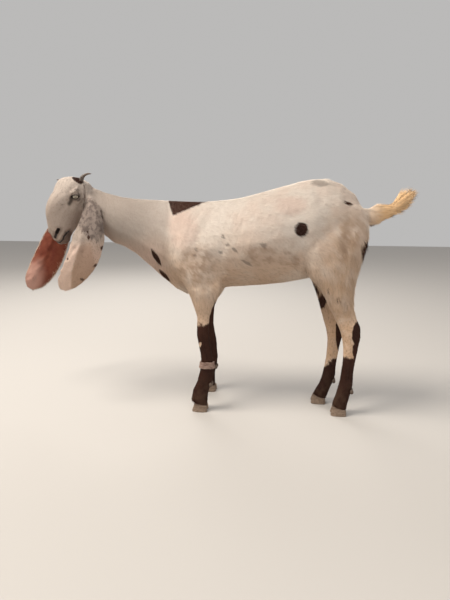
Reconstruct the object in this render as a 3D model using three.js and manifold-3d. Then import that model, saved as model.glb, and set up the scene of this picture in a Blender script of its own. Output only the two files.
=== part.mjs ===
// A young lop-eared doe goat standing with its head lowered and turned to its left, at life size.
// Millimetres. +Z is up, the goat faces -Y and its left side is +X.
// The body is lofted from cross-sections, joined into one solid and parted by thin cuts.
import * as THREE from "three";
import { mergeVertices } from "three/addons/utils/BufferGeometryUtils.js";
import Module from "manifold-3d";

const wasm = await Module();
wasm.setup();

// ---------------------------------------------------------------- driving sizes
const GAP = 0.3; // clearance between two touching pieces
const SLIVER = 0.15; // edges shorter than this are closed up
const BODY_SIDES = 24; // points round the trunk and neck
const BODY_STEP = 50; // between two slices of the trunk
const HEAD_SIDES = 20;
const HEAD_STEP = 16;
const LEG_SIDES = 12;
const TAIL_SIDES = 12;
const LEG_STEP = 36;
const DARK = 0x2c1c18;
const HORN = 0x5c4a40;
const WHITE = 0xe6dacb;
const CREAM = 0xd6b68c;
const CLAW = 0xa98c70;
const INNER_EAR = 0xa05a48;
const IRIS = 0x8a6a3c;
const CLOTH = 0xc9b2a6;

// The head turns to the goat's left, drops its nose and tilts a little.
const HEAD_TURN = THREE.MathUtils.degToRad(57);
const HEAD_DROP = THREE.MathUtils.degToRad(52);
const HEAD_TILT = THREE.MathUtils.degToRad(6);
const POLL = new THREE.Vector3(20, -697, 842); // top of the skull, between the horns
const EYE_RADIUS = 15;
const EYE_SIDES = 12;
const EYE = new THREE.Vector3(45, -80, -5); // left eye's centre, in the head's own frame
const BROW = new THREE.Vector3(46, -68, 10);
const BROW_SIZE = new THREE.Vector3(18, 26, 12);
const CHEEK = new THREE.Vector3(27, -62, -68);
const CHEEK_SIZE = new THREE.Vector3(19, 48, 42);
const NOSTRIL = new THREE.Vector3(19, -221, -43);
const NOSTRIL_SIZE = new THREE.Vector3(7, 5, 8);
const MOUTH_CORNER = 178; // from the poll, along the head
const MOUTH_HEIGHT = -77;
const MOUTH_GAP = 1.6;
const LIP_DEPTH = 4;

const EAR_THICKNESS = 6; // in the middle, hair included
const EAR_RIM = 0.55; // share of that at the edges
const EAR_STEPS = 14;
const EAR_ACROSS = 6;

const HORN_BASE = 9; // radii
const HORN_TIP = 1.6;
const HORN_TAPER = 1.3; // how late the horn thins
const HORN_SIDES = 8;
const HORN_STEPS = 6;

const SOLE_LENGTH = 60;
const FOOT_WIDTH = 50;
const CLEFT = 4; // between the two claws of a foot
const TOE_HEIGHT = 37;
const HEEL_HEIGHT = 21;
const TOE_SLOPE = 11; // how far the toe's wall leans back
const CLAW_SIDES = 12;
const DEWCLAW = new THREE.Vector3(6.5, 7, 10);

const BAND_LOW = 166; // the cloth strip round the left fore cannon
const BAND_HIGH = 190;
const BAND_THICKNESS = 4.5;

// Trunk and neck, from the throat to the rump: place along the spine, spine height,
// underline height, half widths high, middle and low, sideways shift, and how far
// the slice's top leans forward.
const BODY = [
  [-682, 836, 722, 32, 40, 32, -6, 40],
  [-655, 822, 664, 38, 47, 38, -4, 46],
  [-625, 806, 624, 41, 51, 42, 0, 34],
  [-580, 787, 602, 43, 54, 44, 4, 16],
  [-508, 769, 577, 44, 57, 48, 4, 0],
  [-420, 766, 503, 46, 68, 60, 0, 0],
  [-342, 762, 436, 48, 84, 72, 0, 0],
  [-285, 760, 411, 52, 94, 80, 0, 0],
  [-232, 759, 424, 56, 100, 84, 0, 0],
  [-178, 761, 441, 64, 105, 88, 0, 0],
  [-109, 769, 449, 76, 111, 92, 0, 0],
  [-42, 784, 456, 86, 117, 95, 0, 0],
  [46, 808, 466, 92, 118, 92, 0, 0],
  [132, 828, 484, 98, 106, 78, 0, 0],
  [189, 834, 500, 96, 98, 66, 0, 0],
  [237, 819, 520, 86, 90, 60, 0, 0],
  [286, 784, 548, 70, 78, 52, 0, 0],
  [318, 743, 590, 52, 60, 44, 0, 0],
  [336, 706, 640, 28, 34, 28, 0, 0],
];

// Head in its own frame: distance from the back of the skull to the lips along -Y,
// top and bottom heights, half widths high, middle and low.
const HEAD = [
  [0, 0, -84, 36, 40, 32],
  [20, 28, -102, 52, 48, 38],
  [45, 46, -114, 66, 51, 38],
  [70, 46, -118, 70, 50, 34],
  [92, 41, -116, 64, 47, 30],
  [115, 43, -110, 52, 43, 27],
  [140, 42, -104, 42, 38, 25],
  [165, 34, -100, 36, 35, 24],
  [190, 18, -99, 31, 33, 24],
  [208, -1, -100, 28, 32, 26],
  [222, -18, -98, 26, 30, 25],
  [232, -34, -92, 20, 24, 20],
  [237, -50, -82, 12, 15, 12],
];

// Legs by height: front and back edges along y, inner and outer edges along x
// (left side), sloping down to a foot.
const FORELEG = [
  [8, -262, -206, 74, 118],
  [34, -266, -206, 70, 120],
  [52, -269, -204, 71, 119],
  [72, -265, -202, 75, 115],
  [100, -250, -191, 76, 114],
  [128, -241, -184, 75, 115],
  [150, -237, -182, 78, 112],
  [185, -229, -184, 79, 110],
  [230, -234, -188, 78, 109],
  [262, -241, -196, 74, 112],
  [300, -246, -199, 70, 114],
  [330, -244, -198, 70, 112],
  [360, -245, -196, 68, 112],
  [400, -258, -182, 60, 114],
  [440, -276, -160, 48, 115],
  [490, -312, -148, 34, 114],
  [550, -346, -152, 24, 108],
  [610, -346, -160, 18, 97],
  [660, -328, -180, 14, 72],
  [700, -308, -200, 8, 42],
  [735, -292, -216, 2, 12],
];
const HINDLEG = [
  [8, 242, 296, 30, 74],
  [34, 244, 297, 27, 77],
  [52, 248, 299, 28, 76],
  [72, 254, 305, 32, 72],
  [94, 260, 313, 32, 72],
  [116, 263, 315, 34, 71],
  [146, 267, 314, 37, 69],
  [197, 271, 317, 38, 70],
  [243, 272, 322, 37, 72],
  [285, 265, 329, 34, 76],
  [317, 254, 332, 36, 78],
  [350, 240, 318, 36, 80],
  [400, 214, 301, 34, 86],
  [456, 184, 302, 28, 94],
  [510, 142, 310, 20, 102],
  [570, 118, 326, 14, 106],
  [640, 122, 339, 10, 100],
  [700, 142, 330, 8, 86],
  [745, 166, 300, 6, 68],
  [790, 190, 268, 4, 42],
];

// How far the right legs stand from a mirror image of the left ones, by height:
// along y, and outwards.
const FORE_STEP = [[0, -1, -3], [60, -8, -3], [140, -16, -3], [340, -14, -3], [470, 0, 0], [700, 0, 0]];
const HIND_STEP = [
  [0, -70, -10], [34, -64, -10], [72, -57, -10], [140, -52, -10], [250, -48, -8],
  [340, -44, -5], [400, -31, -2], [456, -22, 0], [560, 0, 0], [760, 0, 0],
];

// Tail: slim at the root, then a brush carried up behind the rump. y, top and bottom heights, half width.
const TAIL = [
  [318, 737, 672, 20],
  [345, 738, 674, 21],
  [372, 744, 686, 20],
  [403, 752, 696, 21],
  [429, 769, 705, 24],
  [452, 789, 715, 25],
  [474, 796, 731, 21],
  [494, 790, 756, 10],
];

// Ears: points along the middle from root to tip, then width by share of length.
const EAR_LEFT = [
  [30, -655, 782], [56, -637, 752], [82, -626, 715], [95, -624, 663],
  [101, -633, 621], [102, -648, 567], [97, -680, 512], [88, -724, 462], [83, -753, 434],
];
const EAR_RIGHT = [
  [-8, -742, 784], [-24, -762, 758], [-34, -784, 714], [-36, -812, 656],
  [-32, -838, 602], [-22, -864, 541], [-8, -891, 486], [4, -918, 442], [10, -934, 421],
];
const LEFT_EAR_WIDTH = [ // fuller at the top, where its front edge hangs by the jaw
  [0, 32], [0.06, 38], [0.14, 56], [0.27, 84], [0.42, 111], [0.56, 110],
  [0.7, 104], [0.84, 90], [0.94, 66], [1, 28],
];
const RIGHT_EAR_WIDTH = [
  [0, 32], [0.06, 36], [0.14, 48], [0.27, 74], [0.42, 96], [0.56, 105],
  [0.7, 104], [0.84, 90], [0.94, 66], [1, 28],
];
const RIGHT_EAR_BREADTH = 1.09; // beside the left one, which hangs a little folded
// Across the ear, from its front edge to its back edge, at the root and at the tip.
const LEFT_ACROSS = [[-0.1, 1, 0.1], [-0.45, 0.85, 0.1]];
const RIGHT_ACROSS = [[0.3, 0.9, 0.1], [-0.4, 0.85, 0.3]];
const EAR_HOLLOW = [[0, 16], [0.2, 17], [0.5, 14], [0.8, 9], [1, 2]]; // depth of the trough

// Horns: points from base to tip, in the head's own frame.
const HORN_LEFT = [[33, -25, -8], [36, -14, 1], [43, -2, 6], [51, 11, 4], [60, 21, -4]];
const HORN_RIGHT = [[-33, -25, -8], [-46, -23, -3], [-61, -22, 0], [-77, -22, 2], [-92, -23, 3]];

const FEET = [
  { name: "fore_left", x: 95, y: -233 },
  { name: "fore_right", x: -92, y: -234 },
  { name: "hind_left", x: 52, y: 268 },
  { name: "hind_right", x: -42, y: 200 },
];

// ---------------------------------------------------------------- shared shapes
// Reads a table of stations as smooth curves; the first column is the place along it.
function smoothly(rows) {
  const slope = (i, c) => {
    const before = rows[Math.max(i - 1, 0)];
    const after = rows[Math.min(i + 1, rows.length - 1)];
    return (after[c] - before[c]) / (after[0] - before[0]);
  };
  return (place) => {
    let i = 0;
    while (i < rows.length - 2 && rows[i + 1][0] < place) i++;
    const [p, q] = [rows[i], rows[i + 1]];
    const gap = q[0] - p[0];
    const t = (place - p[0]) / gap;
    return p.map((value, c) => {
      if (c === 0) return place;
      const lift = 3 * t * t - 2 * t * t * t;
      return value + (q[c] - value) * lift
        + slope(i, c) * gap * (t * t * t - 2 * t * t + t)
        + slope(i + 1, c) * gap * (t * t * t - t * t);
    });
  };
}

// Places from first to last, each about step apart.
function places(first, last, step) {
  const count = Math.ceil(Math.abs(last - first) / step);
  return Array.from({ length: count + 1 }, (_, i) => first + ((last - first) * i) / count);
}

// A closed surface through rings of equal numbers of points, with a fan at each end.
function loft(rings) {
  const sides = rings[0].length;
  const points = rings.flat();
  const middle = (ring) =>
    ring.reduce((sum, p) => sum.add(p), new THREE.Vector3()).divideScalar(sides);
  const triangles = [];
  rings.slice(1).forEach((_, r) => {
    for (let s = 0; s < sides; s++) {
      const [a, b] = [r * sides + s, r * sides + ((s + 1) % sides)];
      triangles.push(a, b, b + sides, a, b + sides, a + sides);
    }
  });
  [[0, 1], [rings.length - 1, 0]].forEach(([ring, flip]) => {
    const centre = points.push(middle(rings[ring])) - 1;
    for (let s = 0; s < sides; s++) {
      const [a, b] = [ring * sides + s, ring * sides + ((s + 1) % sides)];
      triangles.push(centre, ...(flip ? [b, a] : [a, b]));
    }
  });
  const geometry = new THREE.BufferGeometry().setFromPoints(points);
  geometry.setIndex(triangles);
  return geometry;
}

// A manifold solid of a closed geometry, faces turned outwards.
function solid(geometry) {
  const bare = geometry.clone();
  ["normal", "uv"].forEach((name) => bare.deleteAttribute(name));
  const merged = mergeVertices(bare, 1e-4);
  const at = merged.attributes.position;
  const index = Uint32Array.from(merged.index.array);
  let volume = 0;
  for (let i = 0; i < index.length; i += 3) {
    const [a, b, c] = [0, 1, 2].map((k) =>
      new THREE.Vector3().fromBufferAttribute(at, index[i + k]));
    volume += a.dot(b.cross(c));
  }
  if (volume < 0) {
    for (let i = 0; i < index.length; i += 3) {
      [index[i], index[i + 1]] = [index[i + 1], index[i]];
    }
  }
  return new wasm.Manifold(new wasm.Mesh({
    numProp: 3, vertProperties: Float32Array.from(at.array), triVerts: index,
  }));
}

// The geometry of a manifold solid, without the slivers that cuts leave.
function geometryOf(body) {
  const mesh = body.asOriginal().simplify(SLIVER).getMesh();
  const geometry = new THREE.BufferGeometry();
  geometry.setAttribute("position", new THREE.BufferAttribute(mesh.vertProperties, 3));
  geometry.setIndex(new THREE.BufferAttribute(mesh.triVerts, 1));
  geometry.computeVertexNormals();
  return geometry;
}

// An ellipsoid with the given centre and half sizes.
function ellipsoid(centre, half, sides = 10) {
  return new THREE.SphereGeometry(1, sides, sides / 2)
    .scale(half.x, half.y, half.z)
    .translate(centre.x, centre.y, centre.z);
}

// Half width at a share of the height, through the three given at 15, 50 and 85 %.
function halfWidth(share, high, middle, low) {
  const [a, b, c] = [share - 0.15, share - 0.5, share - 0.85];
  return (high * b * c) / 0.245 - (middle * a * c) / 0.1225 + (low * a * b) / 0.245;
}

// One upright slice across the body or head.
function slice(y, top, bottom, high, middle, low, sides) {
  return Array.from({ length: sides }, (_, i) => {
    const turn = (2 * Math.PI * i) / sides;
    const share = (1 - Math.cos(turn)) / 2;
    return new THREE.Vector3(
      halfWidth(share, high, middle, low) * Math.sin(turn),
      y,
      top + (bottom - top) * share,
    );
  });
}

// One level slice across a leg.
function legSlice(z, front, back, inner, outer) {
  return Array.from({ length: LEG_SIDES }, (_, i) => {
    const turn = (2 * Math.PI * i) / LEG_SIDES;
    return new THREE.Vector3(
      (inner + outer) / 2 + ((outer - inner) / 2) * Math.cos(turn),
      (front + back) / 2 + ((back - front) / 2) * Math.sin(turn),
      z,
    );
  });
}

// ---------------------------------------------------------------- flesh
// Trunk and neck in one, each side moved out by more.
function bodyLoft(more = 0) {
  const at = smoothly(BODY);
  return loft(places(BODY[0][0], BODY.at(-1)[0], BODY_STEP).map((y) => {
    const [, top, bottom, high, middle, low, shift, lean] = at(y);
    const widths = [high, middle, low].map((w) => w + more);
    return slice(y, top + more, bottom - more, ...widths, BODY_SIDES).map((p) => {
      const share = (top - p.z) / (top - bottom);
      return p.add(new THREE.Vector3(shift, lean * (share - 0.5), 0));
    });
  }));
}

const HEAD_FRAME = new THREE.Matrix4()
  .makeTranslation(POLL)
  .multiply(new THREE.Matrix4().makeRotationZ(HEAD_TURN))
  .multiply(new THREE.Matrix4().makeRotationX(HEAD_DROP))
  .multiply(new THREE.Matrix4().makeRotationY(HEAD_TILT));

// The skull and jaws, each side moved out by more.
function skullLoft(more) {
  const at = smoothly(HEAD);
  return loft(places(0, HEAD.at(-1)[0], HEAD_STEP).map((along, i, all) => {
    const [, top, bottom, ...widths] = at(along);
    const end = i === 0 ? more : i === all.length - 1 ? -more : 0;
    return slice(end - along, top + more, bottom - more, ...widths.map((w) => w + more), HEAD_SIDES);
  }));
}

// The same point or size on the other side of the head.
const mirrored = (p) => new THREE.Vector3(-p.x, p.y, p.z);
const bothSides = (p) => [p, mirrored(p)];

// The whole head without eyes, horns and ears, moved out by more.
function headSolid(more) {
  const bulge = new THREE.Vector3(more, more, more);
  const brows = bothSides(BROW).map((p) => ellipsoid(p, BROW_SIZE.clone().add(bulge)));
  const cheeks = bothSides(CHEEK).map((p) => ellipsoid(p, CHEEK_SIZE.clone().add(bulge)));
  return wasm.Manifold.union([skullLoft(more), ...brows, ...cheeks].map(solid));
}

// The slit between the lips: a thin slab less the middle of the muzzle.
function mouthSlit() {
  const length = HEAD.at(-1)[0] + 20 - MOUTH_CORNER;
  const slab = new THREE.BoxGeometry(120, length, MOUTH_GAP)
    .translate(0, -MOUTH_CORNER - length / 2, MOUTH_HEIGHT);
  return solid(slab).subtract(solid(skullLoft(-LIP_DEPTH)));
}

function legLoft(table, side, step = [[0, 0, 0], [1000, 0, 0]], more = 0, first, last) {
  const at = smoothly(table);
  const stepAt = smoothly(step);
  const low = first ?? table[0][0];
  const high = last ?? table.at(-1)[0];
  return loft(places(low, high, LEG_STEP).map((z) => {
    const [, front, back, inner, outer] = at(z);
    const [, along, out] = stepAt(z);
    return legSlice(z, front + along - more, back + along + more,
      side * (inner + out - more), side * (outer + out + more));
  }));
}

function tailLoft() {
  const at = smoothly(TAIL);
  return loft(places(TAIL[0][0], TAIL.at(-1)[0], 16).map((y) => {
    const [, top, bottom, half] = at(y);
    return slice(y, top, bottom, half, half, half, TAIL_SIDES);
  }));
}

// ---------------------------------------------------------------- ears and horns
const vectors = (rows) => rows.map((row) => new THREE.Vector3(...row));

// A long leaf with a hollow inner face.
function earLoft({ middle, across, widths, breadth }) {
  const line = new THREE.CatmullRomCurve3(vectors(middle));
  const [rootAcross, tipAcross] = vectors(across);
  const widthAt = smoothly(widths);
  const depthAt = smoothly(EAR_HOLLOW);
  const rings = [];
  for (let i = 0; i <= EAR_STEPS; i++) {
    const share = i / EAR_STEPS;
    const along = line.getTangentAt(share);
    const centre = line.getPointAt(share);
    const wide = rootAcross.clone().lerp(tipAcross, share);
    wide.addScaledVector(along, -wide.dot(along)).normalize();
    const out = along.clone().cross(wide);
    const half = (breadth * widthAt(share)[1]) / 2;
    const depth = depthAt(share)[1];
    const point = (place, face) => {
      const thick = (EAR_THICKNESS / 2) * (1 - (1 - EAR_RIM) * place * place);
      return centre.clone()
        .addScaledVector(wide, half * place)
        .addScaledVector(out, -depth * (place * place - 0.4) + face * thick);
    };
    const steps = Array.from({ length: EAR_ACROSS }, (_, k) => -1 + (2 * k) / (EAR_ACROSS - 1));
    rings.push([...steps.map((p) => point(p, 1)), ...steps.reverse().map((p) => point(p, -1))]);
  }
  return loft(rings);
}

function hornLoft(points, more) {
  const line = new THREE.CatmullRomCurve3(vectors(points));
  const rings = [];
  for (let i = 0; i <= HORN_STEPS; i++) {
    const share = i / HORN_STEPS;
    const radius = HORN_BASE + (HORN_TIP - HORN_BASE) * share ** HORN_TAPER + more;
    const along = line.getTangentAt(share);
    const turn = new THREE.Quaternion().setFromUnitVectors(new THREE.Vector3(0, 0, 1), along);
    rings.push(Array.from({ length: HORN_SIDES }, (_, k) => {
      const angle = (2 * Math.PI * k) / HORN_SIDES;
      return new THREE.Vector3(Math.cos(angle), Math.sin(angle), 0)
        .multiplyScalar(radius).applyQuaternion(turn).add(line.getPointAt(share));
    }));
  }
  return loft(rings);
}

// ---------------------------------------------------------------- feet
// Height of the hair line above a claw, by its place from toe to heel.
const hairLine = (y) => HEEL_HEIGHT + (TOE_HEIGHT - HEEL_HEIGHT) * (0.5 - y / SOLE_LENGTH);

// One claw with a flat sole; side is +1 or -1 for the x side of the foot's middle.
function clawLoft(side) {
  const wide = (FOOT_WIDTH - CLEFT) / 2;
  return loft([0, 0.12, 0.55, 1].map((level) => {
    const toe = -SOLE_LENGTH / 2 + TOE_SLOPE * level + (level === 0 ? 1.5 : 0);
    const heel = SOLE_LENGTH / 2 - 2 - 2 * level;
    return Array.from({ length: CLAW_SIDES }, (_, i) => {
      const turn = (2 * Math.PI * i) / CLAW_SIDES;
      const y = (toe + heel) / 2 - ((heel - toe) / 2) * Math.cos(turn);
      const outwards = Math.sign(Math.sin(turn)) * Math.abs(Math.sin(turn)) ** 0.6;
      const spread = wide * (0.5 + 0.5 * outwards) * (1 - 0.08 * level);
      return new THREE.Vector3(side * (CLEFT / 2 + spread), y, level * hairLine(y));
    });
  }));
}

// Everything under the hair line of a foot, to cut the leg with.
function underHairLine({ x, y }) {
  const reach = 60;
  const outline = new THREE.Shape([
    new THREE.Vector2(-reach, -40),
    new THREE.Vector2(reach, -40),
    new THREE.Vector2(reach, hairLine(reach) + GAP),
    new THREE.Vector2(-reach, hairLine(-reach) + GAP),
  ]);
  return uprightPrism(outline, -reach, reach).translate(x, y, 0);
}

// A shape drawn in y and z, carried across from one x to another.
function uprightPrism(outline, from, to) {
  const prism = new THREE.ExtrudeGeometry(outline, { depth: to - from, bevelEnabled: false });
  prism.applyMatrix4(new THREE.Matrix4().makeBasis(
    new THREE.Vector3(0, 1, 0), new THREE.Vector3(0, 0, 1), new THREE.Vector3(1, 0, 0)));
  return prism.translate(from, 0, 0);
}

// ---------------------------------------------------------------- parting
// A region that one piece keeps, and the same region a gap larger, which the rest loses.
function region(corners, from, to) {
  const outline = new THREE.Shape(corners.map(([y, z]) => new THREE.Vector2(y, z)));
  const kept = uprightPrism(outline, from, to);
  kept.computeBoundingBox();
  const centre = kept.boundingBox.getCenter(new THREE.Vector3());
  const size = kept.boundingBox.getSize(new THREE.Vector3());
  const lost = kept.clone()
    .translate(-centre.x, -centre.y, -centre.z)
    .scale(1 + (2 * GAP) / size.x, 1 + (2 * GAP) / size.y, 1 + (2 * GAP) / size.z)
    .translate(centre.x, centre.y, centre.z);
  return { kept: solid(kept), lost: solid(lost) };
}

const FAR = 400;
const FORELEG_INSIDE = 44;
const HINDLEG_INSIDE = 16;
const FORELEG_REGION = [[-345, -10], [-120, -10], [-130, 462], [-300, 462]];
const HINDLEG_REGION = [[104, -10], [420, -10], [420, 660], [358, 640], [118, 515], [110, 440]];
const NECK_REGION = [[-900, 380], [-402, 380], [-322, 900], [-900, 900]];
const TAIL_REGION = [[346, 640], [600, 640], [600, 860], [346, 860]];

// ---------------------------------------------------------------- assembly
const goat = new THREE.Group();

function add(name, body, colour, roughness = 0.85) {
  const mesh = new THREE.Mesh(
    geometryOf(body),
    new THREE.MeshStandardMaterial({ color: colour, roughness, metalness: 0 }),
  );
  mesh.name = name;
  goat.add(mesh);
}

// Head with its sockets, then what sits in them.
const inHead = (geometry) => solid(geometry.applyMatrix4(HEAD_FRAME));
const eyeBall = (centre, more) => ellipsoid(centre,
  new THREE.Vector3(EYE_RADIUS, EYE_RADIUS, EYE_RADIUS).addScalar(more), EYE_SIDES);
const horns = { left: HORN_LEFT, right: HORN_RIGHT };
const eyes = { left: EYE, right: mirrored(EYE) };
const sides = ["left", "right"];

let head = headSolid(0).subtract(mouthSlit());
bothSides(NOSTRIL).forEach((p) => {
  head = head.subtract(solid(ellipsoid(p, NOSTRIL_SIZE, 8)));
});
sides.forEach((side) => {
  head = head.subtract(solid(eyeBall(eyes[side], GAP)));
  head = head.subtract(solid(hornLoft(horns[side], GAP)));
});
add("head", inHead(geometryOf(head)), WHITE);
sides.forEach((side) => {
  add(`eye_${side}`, inHead(eyeBall(eyes[side], 0)), IRIS, 0.2);
  add(`horn_${side}`, inHead(hornLoft(horns[side], 0)), HORN, 0.6);
});

const headRoom = inHead(geometryOf(headSolid(GAP)));
const neckRoom = solid(bodyLoft(GAP));
const ears = {
  left: {
    middle: EAR_LEFT, across: LEFT_ACROSS, widths: LEFT_EAR_WIDTH, breadth: 1, colour: WHITE,
  },
  right: {
    middle: EAR_RIGHT, across: RIGHT_ACROSS, widths: RIGHT_EAR_WIDTH,
    breadth: RIGHT_EAR_BREADTH, colour: INNER_EAR,
  },
};
sides.forEach((side) => {
  const ear = solid(earLoft(ears[side])).subtract(headRoom).subtract(neckRoom);
  add(`ear_${side}`, ear, ears[side].colour);
});

// Trunk, neck, tail and legs: one body, parted by thin cuts.
const legs = [
  { name: "foreleg_left", table: FORELEG, side: 1, foot: 0 },
  { name: "foreleg_right", table: FORELEG, side: -1, step: FORE_STEP, foot: 1 },
  { name: "hindleg_left", table: HINDLEG, side: 1, foot: 2 },
  { name: "hindleg_right", table: HINDLEG, side: -1, step: HIND_STEP, foot: 3 },
];
let body = wasm.Manifold.union([
  solid(bodyLoft()),
  solid(tailLoft()),
  ...legs.map(({ table, side, step }) => solid(legLoft(table, side, step))),
]).subtract(headRoom);
FEET.forEach((foot) => {
  body = body.subtract(solid(underHairLine(foot)));
});

// Takes one region out of the body.
function part(corners, from, to) {
  const { kept, lost } = region(corners, from, to);
  const piece = body.intersect(kept);
  body = body.subtract(lost);
  return piece;
}

// Dewclaws behind each fetlock, two to a foot.
function dewclaws(leg) {
  const at = smoothly(leg.table);
  const stepAt = smoothly(leg.step ?? [[0, 0, 0], [1000, 0, 0]]);
  const height = leg.table === FORELEG ? 104 : 92;
  const [, , back, inner, outer] = at(height);
  const [, along, out] = stepAt(height);
  return [-1, 1].map((place) => new THREE.Vector3(
    leg.side * ((inner + outer) / 2 + out) + place * 10,
    back + along - 3,
    height,
  ));
}

legs.forEach((leg) => {
  const hind = leg.table === HINDLEG;
  const inside = hind ? HINDLEG_INSIDE : FORELEG_INSIDE;
  const [from, to] = leg.side > 0 ? [inside, FAR] : [-FAR, -inside];
  let piece = part(hind ? HINDLEG_REGION : FORELEG_REGION, from, to);
  dewclaws(leg).forEach((place, i) => {
    const { name, x } = FEET[leg.foot];
    const which = Math.sign(place.x - x) === leg.side ? "outer" : "inner";
    const grown = DEWCLAW.clone().addScalar(GAP);
    piece = piece.subtract(solid(ellipsoid(place, grown, 8)));
    add(`dewclaw_${name}_${which}`, solid(ellipsoid(place, DEWCLAW, 8)), CLAW, 0.6);
  });
  add(leg.name, piece, DARK);
});
add("neck", part(NECK_REGION, -FAR, FAR), WHITE);
add("tail", part(TAIL_REGION, -FAR, FAR), CREAM);
add("trunk", body, WHITE);

FEET.forEach(({ name, x, y }) => {
  [-1, 1].forEach((side) => {
    const which = side === Math.sign(x) ? "outer" : "inner";
    add(`hoof_${name}_${which}`, solid(clawLoft(side).translate(x, y, 0)), CLAW, 0.6);
  });
});

const wrap = legLoft(FORELEG, 1, undefined, BAND_THICKNESS, BAND_LOW, BAND_HIGH);
const room = legLoft(FORELEG, 1, undefined, GAP);
add("leg_band", solid(wrap).subtract(solid(room)), CLOTH, 0.9);

// The origin lies on the ground under the middle of the goat's box.
goat.updateMatrixWorld(true);
const box = new THREE.Box3().setFromObject(goat);
const centre = box.getCenter(new THREE.Vector3());
goat.children.forEach((mesh) => mesh.geometry.translate(-centre.x, -centre.y, -box.min.z));

export default goat;
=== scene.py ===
# %% [markdown]
# # A lop-eared goat, standing still
#
# This lesson dresses a plain faceted model of a goat. The model arrives as separate solids: head,
# neck, trunk, tail, legs, ears, eyes, horns and claws. They already have the right sizes and places.
# One smooth skin is grown from the fleshy ones, then sculpted, coloured and covered in hair, and the
# hard parts are made again with their rings, grooves and wear.

# %% The fixed frame
import math

import bmesh
import bpy
import numpy as np
from mathutils import Matrix, Vector


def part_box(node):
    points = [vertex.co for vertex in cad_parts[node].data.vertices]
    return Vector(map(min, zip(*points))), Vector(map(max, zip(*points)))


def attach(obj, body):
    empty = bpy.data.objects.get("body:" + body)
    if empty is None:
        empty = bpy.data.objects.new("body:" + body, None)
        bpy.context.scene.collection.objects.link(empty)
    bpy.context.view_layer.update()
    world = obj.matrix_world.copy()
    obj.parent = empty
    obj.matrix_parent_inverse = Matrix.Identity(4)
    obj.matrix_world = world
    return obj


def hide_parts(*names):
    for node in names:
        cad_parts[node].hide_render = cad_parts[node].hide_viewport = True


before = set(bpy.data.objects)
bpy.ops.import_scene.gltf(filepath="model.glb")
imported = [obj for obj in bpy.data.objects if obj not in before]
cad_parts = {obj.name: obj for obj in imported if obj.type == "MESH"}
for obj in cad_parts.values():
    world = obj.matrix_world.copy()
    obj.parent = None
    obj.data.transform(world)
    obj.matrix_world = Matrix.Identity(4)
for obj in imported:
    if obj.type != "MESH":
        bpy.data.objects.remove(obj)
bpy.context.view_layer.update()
MM = 0.001
SIDES = {"left": 1, "right": -1}
ENDS = ("fore", "hind")
CLAWS = [f"{end}_{side}_{which}" for end in ENDS for side in SIDES for which in ("inner", "outer")]


def middle(node):
    low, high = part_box(node)
    return (low + high) / 2


def place(node, across, along, up):
    """A point at the given shares of a node's box."""
    low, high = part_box(node)
    return Vector(low[i] + (high[i] - low[i]) * share for i, share in enumerate((across, along, up)))


# %% [markdown]
# ## Camera and studio
#
# The camera stands a little above the goat's elbow and looks down by twelve degrees, so the animal
# sits in the upper half of a tall picture. A pale floor and three wide soft lamps show the coat without hard
# shadows: the brightest on the side that the head points to, a weaker one behind the camera to fill
# the shade, and one from the far side to light the outline.

# %% Camera
def added(name, data):
    """A new object of the scene that holds a mesh, a lamp or a camera."""
    thing = bpy.data.objects.new(name, data)
    bpy.context.scene.collection.objects.link(thing)
    return thing


feet = sum((middle(f"hoof_{claw}") for claw in CLAWS), Vector()) / len(CLAWS)
VIEW_TURN, VIEW_DIP = math.radians(9), math.radians(12)
camera = added("camera", bpy.data.cameras.new("camera"))
camera.location = Vector((feet.x, feet.y, 0)) + Vector((1.608, 0.099, 0.745))
level = math.cos(VIEW_DIP)
look = Vector((-math.cos(VIEW_TURN) * level, -math.sin(VIEW_TURN) * level, -math.sin(VIEW_DIP)))
camera.rotation_euler = look.to_track_quat("-Z", "Y").to_euler()
camera.data.sensor_width = 36
camera.data.lens = 27
bpy.context.scene.camera = camera


# %% Lamps, sky and floor
BARREL = Vector((0, 0, 0.45))  # all lamps point at it


def lamp(name, place_at, size, power, colour):
    data = bpy.data.lights.new(name, "AREA")
    data.shape = "DISK"
    data.size = size
    data.energy = power
    data.color = colour
    thing = added(name, data)
    thing.location = place_at
    thing.rotation_euler = (BARREL - Vector(place_at)).to_track_quat("-Z", "Y").to_euler()


lamp("key", (1.0, -1.7, 3.8), 1.8, 178, (1.0, 0.93, 0.83))
lamp("fill", (3.0, 1.8, 2.2), 3.0, 40, (1.0, 0.96, 0.90))
lamp("rim", (-2.4, -1.0, 2.4), 2.0, 45, (1.0, 0.97, 0.93))

sky = bpy.data.worlds.new("studio")
sky.use_nodes = True
sky.node_tree.nodes["Background"].inputs["Color"].default_value = (0.80, 0.79, 0.78, 1)
sky.node_tree.nodes["Background"].inputs["Strength"].default_value = 0.62
bpy.context.scene.world = sky
bpy.context.scene.view_settings.view_transform = "Standard"

bpy.ops.mesh.primitive_plane_add(size=14)
floor = bpy.context.object
floor.name = "floor"
pale = bpy.data.materials.new("pale_floor")
pale.use_nodes = True
pale.node_tree.nodes["Principled BSDF"].inputs["Base Color"].default_value = (0.50, 0.475, 0.45, 1)
pale.node_tree.nodes["Principled BSDF"].inputs["Roughness"].default_value = 0.9
floor.data.materials.append(pale)

# %% [markdown]
# ## One skin from many solids
#
# On a live goat there is no seam between neck and shoulder. So the fleshy solids are copied, each is
# swollen by a little over a millimetre so that the thin cuts between them close, and a voxel remesh
# turns the pile into one even net. The net is then eased: every point moves to the middle of its
# neighbours, many times over, which melts the flat facets but would also melt thin rims. Points
# on a rim are found by how much the facing changes round them, and are held.

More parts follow.
